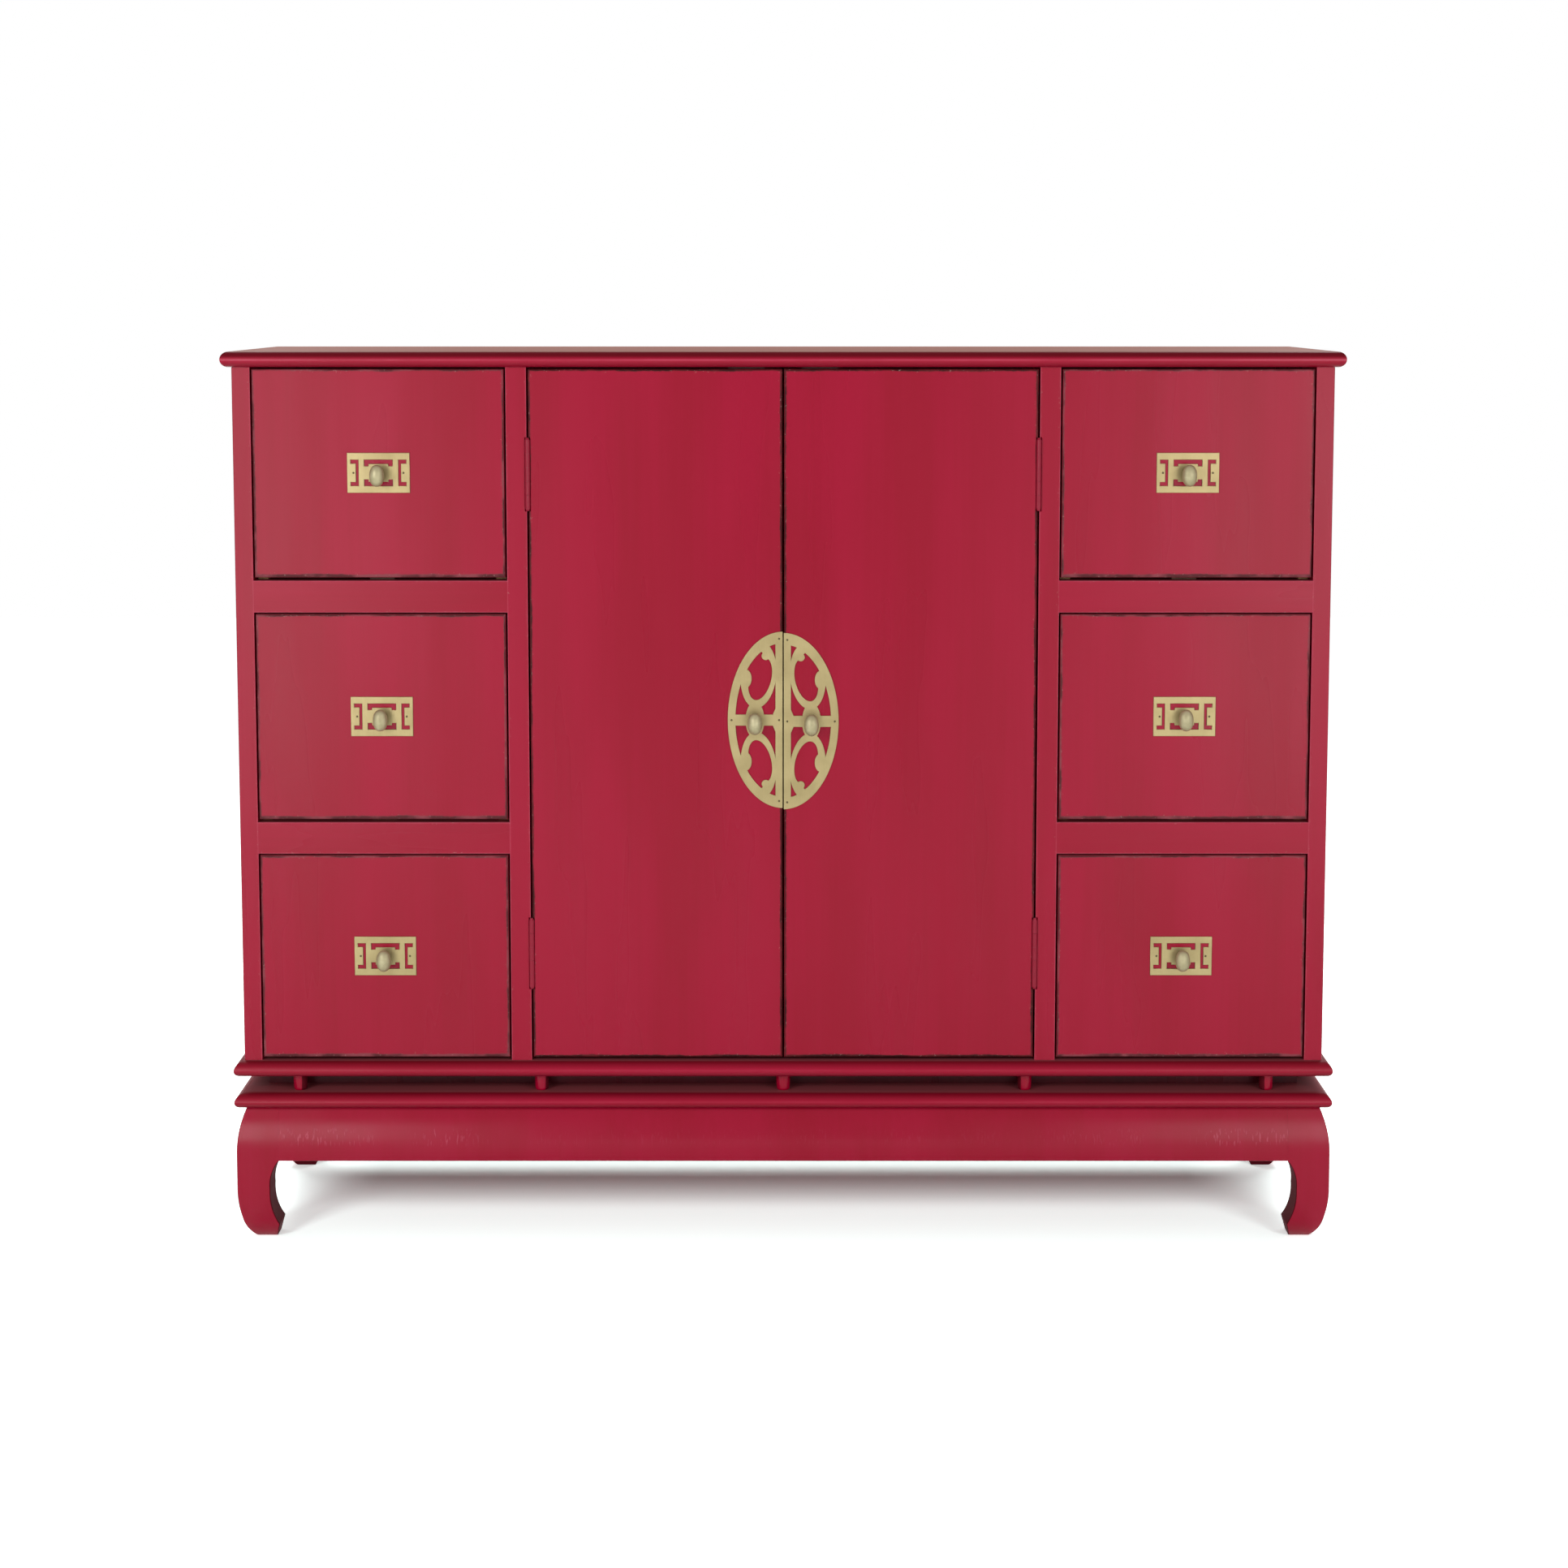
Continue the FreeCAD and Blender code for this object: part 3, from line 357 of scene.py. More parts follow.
@dataclass(frozen=True)
class RedLacquer(Finish):
    """Oil lacquer with red pigment, brushed on in thin coats and rubbed down.

    The eye reads a deep cherry red with soft darker bands and faint brush marks that break up the gloss.
    Faces that look up are faded and dull with dust, on the top also a painted sheen; edges are rubbed to a
    brown ground.
    """

    slot: str = "red_lacquer"
    brushed: Axis = Axis.Z
    wear_and_painted_light: WearAndPaintedLight | None = None
    # Whether faces inside the stand that look in toward its middle get painted shade
    painted_shade_inside: bool = False
    red: str = "#9f042d"
    deep_red: str = "#970226"
    # Dust on faces that look up; on the top board its salmon tone also paints the sheen of the gloss
    dust_and_sheen: str = "#a0565c"
    dust_and_sheen_share: float = 0.6
    dust_dullness: float = 1.0
    # Painted shade on faces inside the stand that look in toward its middle
    inside_shade: str = "#3c0c12"
    inside_shade_from: float = 20 * MM
    inside_shade_full: float = 80 * MM
    inside_shade_share: float = 0.85
    roughness: float = 0.28
    dull_rise: float = 0.45
    gloss: float = 0.5
    dull_gloss: float = 0.12
    ior: float = 1.28
    band: Stroke = (90 * MM, 500 * MM)
    streak: Stroke = (6 * MM, 260 * MM)
    coat: Stroke = (45 * MM, 420 * MM)
    swell: Stroke = (26 * MM, 240 * MM)
    swell_depth: float = 0.2 * MM
    # Bristles leave marks about 0.3 mm apart. They are drawn coarser, so that they show.
    bristle: Stroke = (1.3 * MM, 60 * MM)
    bristle_depth: float = 0.05 * MM

    def body_colour(self, tree: Tree, place: Socket) -> Socket:
        """Red with soft bands of a deeper red along the stroke, and fine brush streaks.

        Args:
            tree: The material's nodes.
            place: Object coordinates.

        Returns:
            The colour.
        """
        bands = add_node(tree, "MapRange", (streaks(tree, place, self.brushed, self.band), 0.38, 0.64))
        faint = add_node(tree, "MapRange", (streaks(tree, place, self.brushed, self.streak), NOISE_LOW,
                                            NOISE_HIGH, -0.2, 0.2))
        share = add_node(tree, "Math", (bands, faint), operation="ADD", use_clamp=True)
        return add_node(tree, "Mix", {0: share, COLOUR_A: colour(self.red),
                                      COLOUR_B: colour(self.deep_red)}, BLEND, data_type="RGBA")

    def layers(self, tree: Tree, place: Socket) -> list[Layer]:
        """Everything over the red: rubbing, painted light, dust and sheen where faces look up, painted shade
        in the stand.

        Args:
            tree: The material's nodes.
            place: Object coordinates.

        Returns:
            The layers, lowest first.
        """
        laid = self.wear_and_painted_light.layers(tree, place) if self.wear_and_painted_light is not None else []
        dust_and_sheen_mask = add_node(tree, "MapRange", (facing(tree, Axis.Z), 0.96, 0.995, 0, self.dust_and_sheen_share))
        laid.append((dust_and_sheen_mask, self.dust_and_sheen, self.dust_dullness))
        # Painted shade: faces inside the stand that look in toward its middle are darkened and dulled
        if self.painted_shade_inside:
            normal = add_node(tree, "TexCoord", out="Normal")
            flat = add_node(tree, "VectorMath", (place, (1.0, 1.0, 0.0)), operation="MULTIPLY")
            outward = add_node(tree, "VectorMath", (flat, normal), "Value", operation="DOT_PRODUCT")
            inside_shade_mask = add_node(tree, "MapRange", (outward, -self.inside_shade_from, -self.inside_shade_full, 0, self.inside_shade_share))
            laid.append((inside_shade_mask, self.inside_shade, 1.0))
        return laid

    def shade(self, tree: Tree, place: Socket) -> Socket:
        """Build the lacquer: red, what lies over it, and a gloss that brush marks break up.

        Args:
            tree: The material's nodes.
            place: Object coordinates.

        Returns:
            The shader socket.
        """
        tint = self.body_colour(tree, place)
        matt = 0.0
        for share, code, dullness in self.layers(tree, place):
            tint = add_node(tree, "Mix", {0: share, COLOUR_A: tint, COLOUR_B: colour(code)}, BLEND,
                            data_type="RGBA")
            dull = add_node(tree, "Math", (share, dullness), operation="MULTIPLY")
            matt = add_node(tree, "Math", (matt, dull), operation="MAXIMUM")
        coat = streaks(tree, place, self.brushed, self.coat)
        smooth = add_node(tree, "MapRange", (coat, NOISE_LOW, NOISE_HIGH, self.roughness - 0.02,
                                             self.roughness + 0.04))
        rise = add_node(tree, "Math", (matt, self.dull_rise), operation="MULTIPLY")
        rough = add_node(tree, "Math", (smooth, rise), operation="ADD")
        gloss = add_node(tree, "MapRange", (matt, 0, 0.8, self.gloss, self.dull_gloss))
        swell = streaks(tree, place, self.brushed, self.swell)
        wavy = add_node(tree, "Bump", {"Height": swell, "Strength": 0.2, "Distance": self.swell_depth})
        marks = streaks(tree, place, self.brushed, self.bristle)
        bump = add_node(tree, "Bump", {"Height": marks, "Normal": wavy, "Strength": 0.15,
                                       "Distance": self.bristle_depth})
        return add_node(tree, "BsdfPrincipled", {"Base Color": tint, "Roughness": rough, "Normal": bump,
                                                 "IOR": self.ior, "Specular IOR Level": gloss})


@dataclass(frozen=True)
class BrassSheet(Finish):
    """Brass sheet, pierced with a fretsaw, rubbed with fine abrasive and left to dull.

    The eye reads a soft straw colour with faint upright rubbing marks and slightly browner patches.
    """

    slot: str = "brass_plate"
    bright: str = "#92835f"
    dull: str = "#867755"
    roughness: float = 0.43
    stain: float = 30 * MM
    # Rubbing marks are under 0.1 mm wide. They are drawn coarser, so that they show.
    rubbing: Stroke = (0.7 * MM, 14 * MM)
    rubbing_depth: float = 0.04 * MM

    def shade(self, tree: Tree, place: Socket) -> Socket:
        """Build the brass: straw colour, patches and fine rubbing marks.

        Args:
            tree: The material's nodes.
            place: Object coordinates.

        Returns:
            The shader socket.
        """
        share = patches(tree, place, self.stain, 0.35, 0.7, detail=3.0)
        tint = add_node(tree, "Mix", {0: share, COLOUR_A: colour(self.bright),
                                      COLOUR_B: colour(self.dull)}, BLEND, data_type="RGBA")
        marks = streaks(tree, place, Axis.Z, self.rubbing)
        rough = add_node(tree, "MapRange", (marks, NOISE_LOW, NOISE_HIGH, self.roughness - 0.05,
                                            self.roughness + 0.07))
        bump = add_node(tree, "Bump", {"Height": marks, "Strength": 0.1, "Distance": self.rubbing_depth})
        return add_node(tree, "BsdfPrincipled", {"Base Color": tint, "Metallic": 1.0, "Roughness": rough,
                                                 "Normal": bump})


@dataclass(frozen=True)
class SandedWood(Finish):
    """Sanded softwood, left plain or stained, its grain along one axis and crossing where boards cross.

    The eye reads a matt brown with darker lines of late wood along the grain.
    """

    slot: str = "carcass_wood"
    early: str = "#664228"
    late: str = "#54341f"
    grain: Axis = Axis.X
    crossing: Axis = Axis.Y
    roughness: float = 0.6
    ring: Stroke = (9 * MM, 400 * MM)
    # Pores are 0.1 to 0.3 mm wide. They are drawn coarser, so that they show.
    pore: Stroke = (0.8 * MM, 14 * MM)
    pore_depth: float = 0.1 * MM

    def grown(self, tree: Tree, place: Socket, stroke: Stroke) -> Socket:
        """Streaks along the grain, and along the other way on faces that would show it end on.

        Args:
            tree: The material's nodes.
            place: Object coordinates.
            stroke: The width and length of a streak.

        Returns:
            The streaks, as noise.
        """
        end_on = add_node(tree, "Math", (facing(tree, self.grain),), operation="ABSOLUTE")
        turned = add_node(tree, "MapRange", (end_on, 0.6, 0.8))
        return add_node(tree, "Mix", {0: turned, VALUE_A: streaks(tree, place, self.grain, stroke),
                                      VALUE_B: streaks(tree, place, self.crossing, stroke)},
                        data_type="FLOAT")

    def shade(self, tree: Tree, place: Socket) -> Socket:
        """Build the wood: bands of early and late wood drawn out along the grain, with fine pores.

        Args:
            tree: The material's nodes.
            place: Object coordinates.

        Returns:
            The shader socket.
        """
        share = add_node(tree, "MapRange", (self.grown(tree, place, self.ring), 0.35, 0.65))
        tint = add_node(tree, "Mix", {0: share, COLOUR_A: colour(self.early),
                                      COLOUR_B: colour(self.late)}, BLEND, data_type="RGBA")
        pores = self.grown(tree, place, self.pore)
        bump = add_node(tree, "Bump", {"Height": pores, "Strength": 0.2, "Distance": self.pore_depth})
        return add_node(tree, "BsdfPrincipled", {"Base Color": tint, "Roughness": self.roughness,
                                                 "Normal": bump})


@dataclass(frozen=True)
class SmallFitting(Finish):
    """A small cast, moulded or plated fitting: one tone, with small spots in its colour and its gloss."""

    tone: str = "#26211c"
    fleck: str = "#6b5d4a"
    fleck_share: float = 0.35
    fleck_end: float = 0.75
    metallic: float = 0.0
    roughness: float = 0.5
    smoother: float = 0.08
    rougher: float = 0.08
    # Moulded or plated grit is about 0.1 mm. It is drawn coarser, so that it shows.
    spot: float = 0.6 * MM
    detail: float = 2.0

    def shade(self, tree: Tree, place: Socket) -> Socket:
        """Build the fitting's surface.

        Args:
            tree: The material's nodes.
            place: Object coordinates.

        Returns:
            The shader socket.
        """
        speck = add_node(tree, "TexNoise", {"Vector": place, "Scale": 1 / self.spot, "Detail": self.detail})
        share = add_node(tree, "MapRange", (speck, 0.35, self.fleck_end, 0, self.fleck_share))
        tint = add_node(tree, "Mix", {0: share, COLOUR_A: colour(self.tone),
                                      COLOUR_B: colour(self.fleck)}, BLEND, data_type="RGBA")
        rough = add_node(tree, "MapRange", (speck, NOISE_LOW, NOISE_HIGH, self.roughness - self.smoother,
                                            self.roughness + self.rougher))
        return add_node(tree, "BsdfPrincipled", {"Base Color": tint, "Metallic": self.metallic,
                                                 "Roughness": rough})


BRASS_SHEET = BrassSheet("rubbed_brass_sheet")
# Cast brass, turned, polished and dulled by hands: pale khaki, with soft marks and one highlight
TURNED_BRASS = SmallFitting("turned_brass", "brass_knob", "#a89e7c", "#988e6c", fleck_share=1.0,
                            fleck_end=0.7, metallic=0.4, roughness=0.48, smoother=0.05, spot=8 * MM,
                            detail=3.0)
# Brass nails, hammered in and tarnished: small dark brown dots on the plates
NAIL_BRASS = SmallFitting("tarnished_brass_nail", "brass_plate", "#4a3d22", metallic=0.6)
# Softwood under a walnut stain, inside the case and, upright, on its back
CARCASS_WOOD = SandedWood("stained_carcass_wood")
UPRIGHT_WOOD = SandedWood("stained_back_panel", grain=Axis.Z)
# Bare softwood, sanded: a pale honey colour inside the drawers
DRAWER_WOOD = SandedWood("sanded_drawer_wood", "drawer_wood", "#b48f61", "#9c7848", Axis.Y, Axis.X)
# Moulded plastic with a fine grain: nearly black
CATCH_PLASTIC = SmallFitting("moulded_catch", "catch_plastic")
# Steel plated with zinc: a soft grey shine
STRIKE_STEEL = SmallFitting("plated_strike", "strike_steel", "#7d7c78", metallic=1.0, roughness=0.35)
# Steel hinges that were brushed over with the case: the same red, a little darker
PAINTED_HINGE = RedLacquer("red_lacquer_on_steel_hinge", "painted_hinge", red="#94132f", deep_red="#861029")


def merged_copy(node: str) -> bmesh.types.BMesh:
    """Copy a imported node's mesh with its loose triangles joined and its flat faces made whole.

    Args:
        node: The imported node.

    Returns:
        The copy.
    """
    shape = bmesh.new()
    shape.from_mesh(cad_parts[node].data)
    bmesh.ops.remove_doubles(shape, verts=shape.verts, dist=WELD_REACH / 2)
    bmesh.ops.dissolve_limit(shape, angle_limit=FLAT_ANGLE, verts=shape.verts, edges=shape.edges)
    return shape


def soften(shape: bmesh.types.BMesh, width: float, wanted: Callable[[bmesh.types.BMEdge], bool]) -> None:
    """Round the edges of a shape that a test picks.

    Args:
        shape: The mesh that is changed.
        width: How far the rounding reaches from the edge.
        wanted: The test on each edge.
    """
    edges = [edge for edge in shape.edges if len(edge.link_faces) == 2 and wanted(edge)]
    bmesh.ops.bevel(shape, geom=edges, offset=width, offset_type="OFFSET", segments=2, profile=0.5,
                    affect="EDGES", material=-1, clamp_overlap=True)


def close_up(shape: bmesh.types.BMesh) -> None:
    """Join a spun shape's seams and poles, fill its open rims and turn its faces outward.

    Args:
        shape: The mesh that is changed.
    """
    bmesh.ops.remove_doubles(shape, verts=shape.verts, dist=WELD_REACH)
    bmesh.ops.holes_fill(shape, edges=[edge for edge in shape.edges if edge.is_boundary])
    bmesh.ops.recalc_face_normals(shape, faces=shape.faces)


def is_arris(edge: bmesh.types.BMEdge) -> bool:
    """Whether an edge is a corner of the wood and not a step of a curved face."""
    return edge.calc_face_angle(0) > SMOOTH_ANGLE


def finish_piece(shape: bmesh.types.BMesh, name: str, finish: Finish, body: str,
                 stands_for: Iterable[str] = ()) -> bpy.types.Object:
    """Turn a shape into a finished piece that rides on its body.

    Args:
        shape: The mesh, which is freed.
        name: The piece's name.
        finish: What it is made of.
        body: The body that carries it.
        stands_for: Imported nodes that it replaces.

    Returns:
        The new object.
    """
    mesh = bpy.data.meshes.new(name)
    shape.to_mesh(mesh)
    shape.free()
    mesh.materials.append(finish.material())
    mesh.polygons.foreach_set("use_smooth", [True] * len(mesh.polygons))
    mesh.set_sharp_from_angle(angle=SMOOTH_ANGLE)
    piece = bpy.data.objects.new(name, mesh)
    bpy.context.scene.collection.objects.link(piece)
    weighted = piece.modifiers.new("even_shading", "WEIGHTED_NORMAL")
    weighted.keep_sharp = True
    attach(piece, body)
    if stands_for:
        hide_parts(*stands_for)
    LOG.info("%s: %d faces, on %s", name, len(mesh.polygons), body)
    return piece


@dataclass
class SubAssembly:
    """A group of pieces that one body carries."""

    body: str

    def dress(self, node: str, finish: Finish) -> None:
        """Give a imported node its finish, with its shape as it is.

        Args:
            node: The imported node.
            finish: What it is made of.
        """
        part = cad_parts[node]
        part.data.materials.clear()
        part.data.materials.append(finish.material())
        LOG.info("%s dressed as %s", node, finish.label)

    def soft_edged(self, node: str, finish: Finish, width: float,
                   wanted: Callable[[bmesh.types.BMEdge], bool] = is_arris) -> bpy.types.Object:
        """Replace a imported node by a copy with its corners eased, as sandpaper and lacquer leave them.

        Args:
            node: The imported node.
            finish: What it is made of.
            width: How far the easing reaches.
            wanted: The test that picks the corners.

        Returns:
            The new piece.
        """
        shape = merged_copy(node)
        soften(shape, width, wanted)
        return finish_piece(shape, f"{node}_eased", finish, self.body, [node])


def node_frame(node: str, more_below: float, **changes: str | float) -> EdgeWearAndPaintedLight:
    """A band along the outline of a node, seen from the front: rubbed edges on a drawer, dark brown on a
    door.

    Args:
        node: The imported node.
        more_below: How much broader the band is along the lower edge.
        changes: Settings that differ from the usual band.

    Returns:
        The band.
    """
    low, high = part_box(node)
    low.z += more_below
    return EdgeWearAndPaintedLight(tuple((low + high) / 2), tuple((high - low) / 2), **changes)


@dataclass
class Case(SubAssembly):
    """The case: top, plinth, side panels, partitions, rails, back and what is inside."""

    body: str = "case"
    ease: float = 0.8 * MM
    beyond: float = 0.5
    nose_rise: float = 9.0 * MM
    nose_ease: float = 0.3 * MM

    def arris(self, centre: Vector, half: Vector, fold: float = 0) -> EdgeWearAndPaintedLight:
        """The narrow pale line on a frame member beside an opening: rubbing and a painted highlight along the
        arris.
        """
        # A pale painted highlight along the arris, with darker rubbed patches in it
        return EdgeWearAndPaintedLight(tuple(centre), tuple(half), (0, 0, fold), width=0.7 * MM, fade=0.8 * MM,
                        ragged=0.5 * MM, share=0.4, ground="#c4566c", bare="#7a3036", bare_share=0.3)

    def uprights(self) -> None:
        """Side panels and partitions, with a rubbed, painted pale highlight along the edges beside the
        drawers.
        """
        for name, side in SIDES.items():
            node = f"{name}_side_panel"
            low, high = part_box(node)
            centre = (low + high) / 2 + Vector((side * self.beyond, 0, 0))
            half = Vector(((high.x - low.x) / 2 + self.beyond, FAR, FAR))
            outside = side * (low.x if side < 0 else high.x)
            self.soft_edged(node, RedLacquer(f"red_lacquer_{node}", wear_and_painted_light=self.arris(centre, half)), self.ease,
                            lambda edge: is_arris(edge) and all(
                                side * corner.co.x > outside - self.ease for corner in edge.verts))
            node = f"{name}_partition"
            low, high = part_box(node)
            half = Vector(((high.x - low.x) / 2, FAR, FAR))
            self.dress(node, RedLacquer(f"red_lacquer_{node}", wear_and_painted_light=self.arris((low + high) / 2, half)))

    def rails(self) -> None:
        """The four rails between the drawers: two levels, mirrored about the middle of the case."""
        low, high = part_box("drawer_rails")
        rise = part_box("left_top_drawer_box")[0].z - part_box("left_middle_drawer_box")[0].z
        half = Vector((FAR, FAR, (high.z - low.z - rise) / 2))
        wear_and_painted_light = self.arris((low + high) / 2, half, rise / 2)
        self.dress("drawer_rails", RedLacquer("red_lacquer_drawer_rails", brushed=Axis.X, wear_and_painted_light=wear_and_painted_light))

    def boards(self) -> None:
        """Top, plinth and the top of the stand, a painted highlight along each nose, painted shade above and
        below.
        """
        nose_light = PaintedNoseLight(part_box("top_board")[0].z + self.nose_rise, shade_reach=5 * MM, highlight_share=0.5)
        # The top's salmon dust is also a painted sheen, and its nose has painted light
        faded = RedLacquer("red_lacquer_top_board", brushed=Axis.X, wear_and_painted_light=nose_light, dust_and_sheen="#b8836a",
                           dust_and_sheen_share=0.4, dust_dullness=1.3)
        self.soft_edged("top_board", faded, self.nose_ease)
        for node in ("plinth_board", "stand_board"):
            nose_light = PaintedNoseLight(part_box(node)[0].z + self.nose_rise)
            red = RedLacquer(f"red_lacquer_{node}", brushed=Axis.X, wear_and_painted_light=nose_light)
            self.soft_edged(node, red, self.nose_ease)

    def build(self) -> None:
        """Dress every piece of the case."""
        self.boards()
        self.uprights()
        self.rails()
        self.dress("back_panel", UPRIGHT_WOOD)
        for node in ("cupboard_shelf", "shelf_cleats", "drawer_runners", "drawer_stops", "corner_blocks"):
            self.dress(node, CARCASS_WOOD)
        self.dress("door_catches", CATCH_PLASTIC)


@dataclass
class Stand(SubAssembly):
    """The stand: frieze with its pegs, aprons and hoof-footed legs."""

    body: str = "case"
    ease: float = 1.4 * MM
    lap: float = 3.5 * MM
    slack: float = 0.05 * MM
    stop: float = 1 * MM
    level_step: float = 2 * MM
    corner_steps: int = 4
    tick_rise: float = 131 * MM
    roughness: float = 0.21
    peg_count: int = 5
    peg_turns: int = 32
    # Radius at shares of the height
    peg_profile: tuple[tuple[float, float], ...] = (
        (6.9 * MM, 0), (7.8 * MM, 0.04), (8.2 * MM, 0.12), (8.5 * MM, 0.5), (9.0 * MM, 1))

    def pegs(self, finish: Finish) -> None:
        """Replace the waist's pegs by turned ones, a little thinner at the foot.

        Args:
            finish: What they are made of.
        """
        low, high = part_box("waist_pegs")
        thick = (high.y - low.y) / 2
        step = (high.x - low.x - 2 * thick) / (self.peg_count - 1)
        shape = bmesh.new()
        for place in range(self.peg_count):
            centre = Vector((low.x + thick + step * place, low.y + thick, low.z))
            line = [shape.verts.new(centre + Vector((radius, 0, share * (high.z - low.z))))
                    for radius, share in self.peg_profile]
            edges = [shape.edges.new(pair) for pair in zip(line, line[1:])]
            bmesh.ops.spin(shape, geom=line + edges, cent=centre, axis=(0, 0, 1), angle=FULL_TURN,
                           steps=self.peg_turns, use_merge=True)
        close_up(shape)
        finish_piece(shape, "waist_pegs_turned", finish, self.body, ["waist_pegs"])

    def section(self, shape: bmesh.types.BMesh, level: float, inset: float) -> list[Vector]:
        """Draw a leg's outline at a level, its corners rounded, apart from those in an apron.

        Args:
            shape: The leg's mesh, which gains the cut's edges.
            level: The height of the cut.
            inset: How far the outline is drawn in, as at the rim of the sole.

        Returns:
            The outline's points, counted round from the corner at +X, +Y.
        """
        everything = [*shape.verts, *shape.edges, *shape.faces]
        cut = bmesh.ops.bisect_plane(shape, geom=everything, dist=self.slack / 100, plane_co=(0, 0, level),
                                     plane_no=(0, 0, 1))["geom_cut"]
        points = [item.co for item in cut if isinstance(item, bmesh.types.BMVert)]
        spans = [(min(point[axis] for point in points) + inset, max(point[axis] for point in points) - inset)
                 for axis in (0, 1)]
        outer = tuple(int(sum(span) > 0) for span in spans)
        outline = []
        for turn, (right, back) in enumerate(((1, 1), (0, 1), (0, 0), (1, 0))):
            stopped = (right, back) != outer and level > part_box("front_apron")[0].z - self.stop
            ease = self.slack if stopped else self.ease
            centre = Vector((spans[0][right] + (1 - 2 * right) * ease,
                             spans[1][back] + (1 - 2 * back) * ease, level))
            for step in range(self.corner_steps + 1):
                angle = FULL_TURN / 4 * (turn + step / self.corner_steps)
                outline.append(centre + ease * Vector((math.cos(angle), math.sin(angle), 0)))
        return outline

    def leg(self, node: str, finish: Finish) -> None:
        """Replace a leg by a loft through its own cross-sections, with rounded arrises.

        Args:
            node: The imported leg.
            finish: What it is made of.
        """
        low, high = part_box(node)
        rim = self.ease / 2
        count = round((high.z - low.z) / self.level_step)
        levels = {low.z + self.level_step * step for step in range(1, count)} | {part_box("front_apron")[0].z}
        rings = [(low.z + self.slack, rim), (low.z + rim, 0.0)]
        rings += [(level, 0.0) for level in sorted(levels)]
        rings += [(high.z - rim, 0.0), (high.z - self.slack, rim)]
        source = merged_copy(node)
        shape = bmesh.new()
        loops = []
        for level, inset in rings:
            corners = [shape.verts.new(point) for point in self.section(source, level, inset)]
            loops.append([shape.edges.new(pair) for pair in zip(corners, corners[1:] + corners[:1])])
        source.free()
        for lower, upper in zip(loops, loops[1:]):
            bmesh.ops.bridge_loops(shape, edges=lower + upper)
        bmesh.ops.holes_fill(shape, edges=loops[0] + loops[-1])
        bmesh.ops.recalc_face_normals(shape, faces=shape.faces)
        finish_piece(shape, f"{node}_eased", finish, self.body, [node])

    def apron(self, node: str, along: Axis, finish: Finish) -> None:
        """Replace an apron by an eased copy whose ends lap into the legs, so that no seam shows.

        Args:
            node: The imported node.
            along: The way that the apron runs.
            finish: What it is made of.
        """
        low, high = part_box(node)
        across = 1 - along.value
        shape = merged_copy(node)
        for corner in shape.verts:
            place = corner.co[along.value]
            if min(place - low[along.value], high[along.value] - place) < self.slack:
                corner.co[along.value] += math.copysign(self.lap, place)
                corner.co[across] -= math.copysign(2 * self.slack, corner.co[across])
        soften(shape, self.ease, is_arris)
        finish_piece(shape, f"{node}_eased", finish, self.body, [node])

    def build(self) -> None:
        """Dress every piece of the stand."""
        plain = RedLacquer("red_lacquer_stand", painted_shade_inside=True, roughness=self.roughness)
        swelling = RedLacquer("red_lacquer_apron", wear_and_painted_light=DriedTicks(self.tick_rise), painted_shade_inside=True,
                              roughness=self.roughness)
        for end in ("front", "back"):
            for name in SIDES:
                self.leg(f"{end}_{name}_leg", plain)
            self.apron(f"{end}_apron", Axis.X, swelling)
        self.apron("side_aprons", Axis.Y, plain)
        # Painted shade: the frieze, set back in the waist under the mouldings, is a near-black red
        self.dress("waist_boards", RedLacquer("red_lacquer_frieze_painted_shade", red="#4a0a16", deep_red="#3a0810"))
        self.pegs(plain)


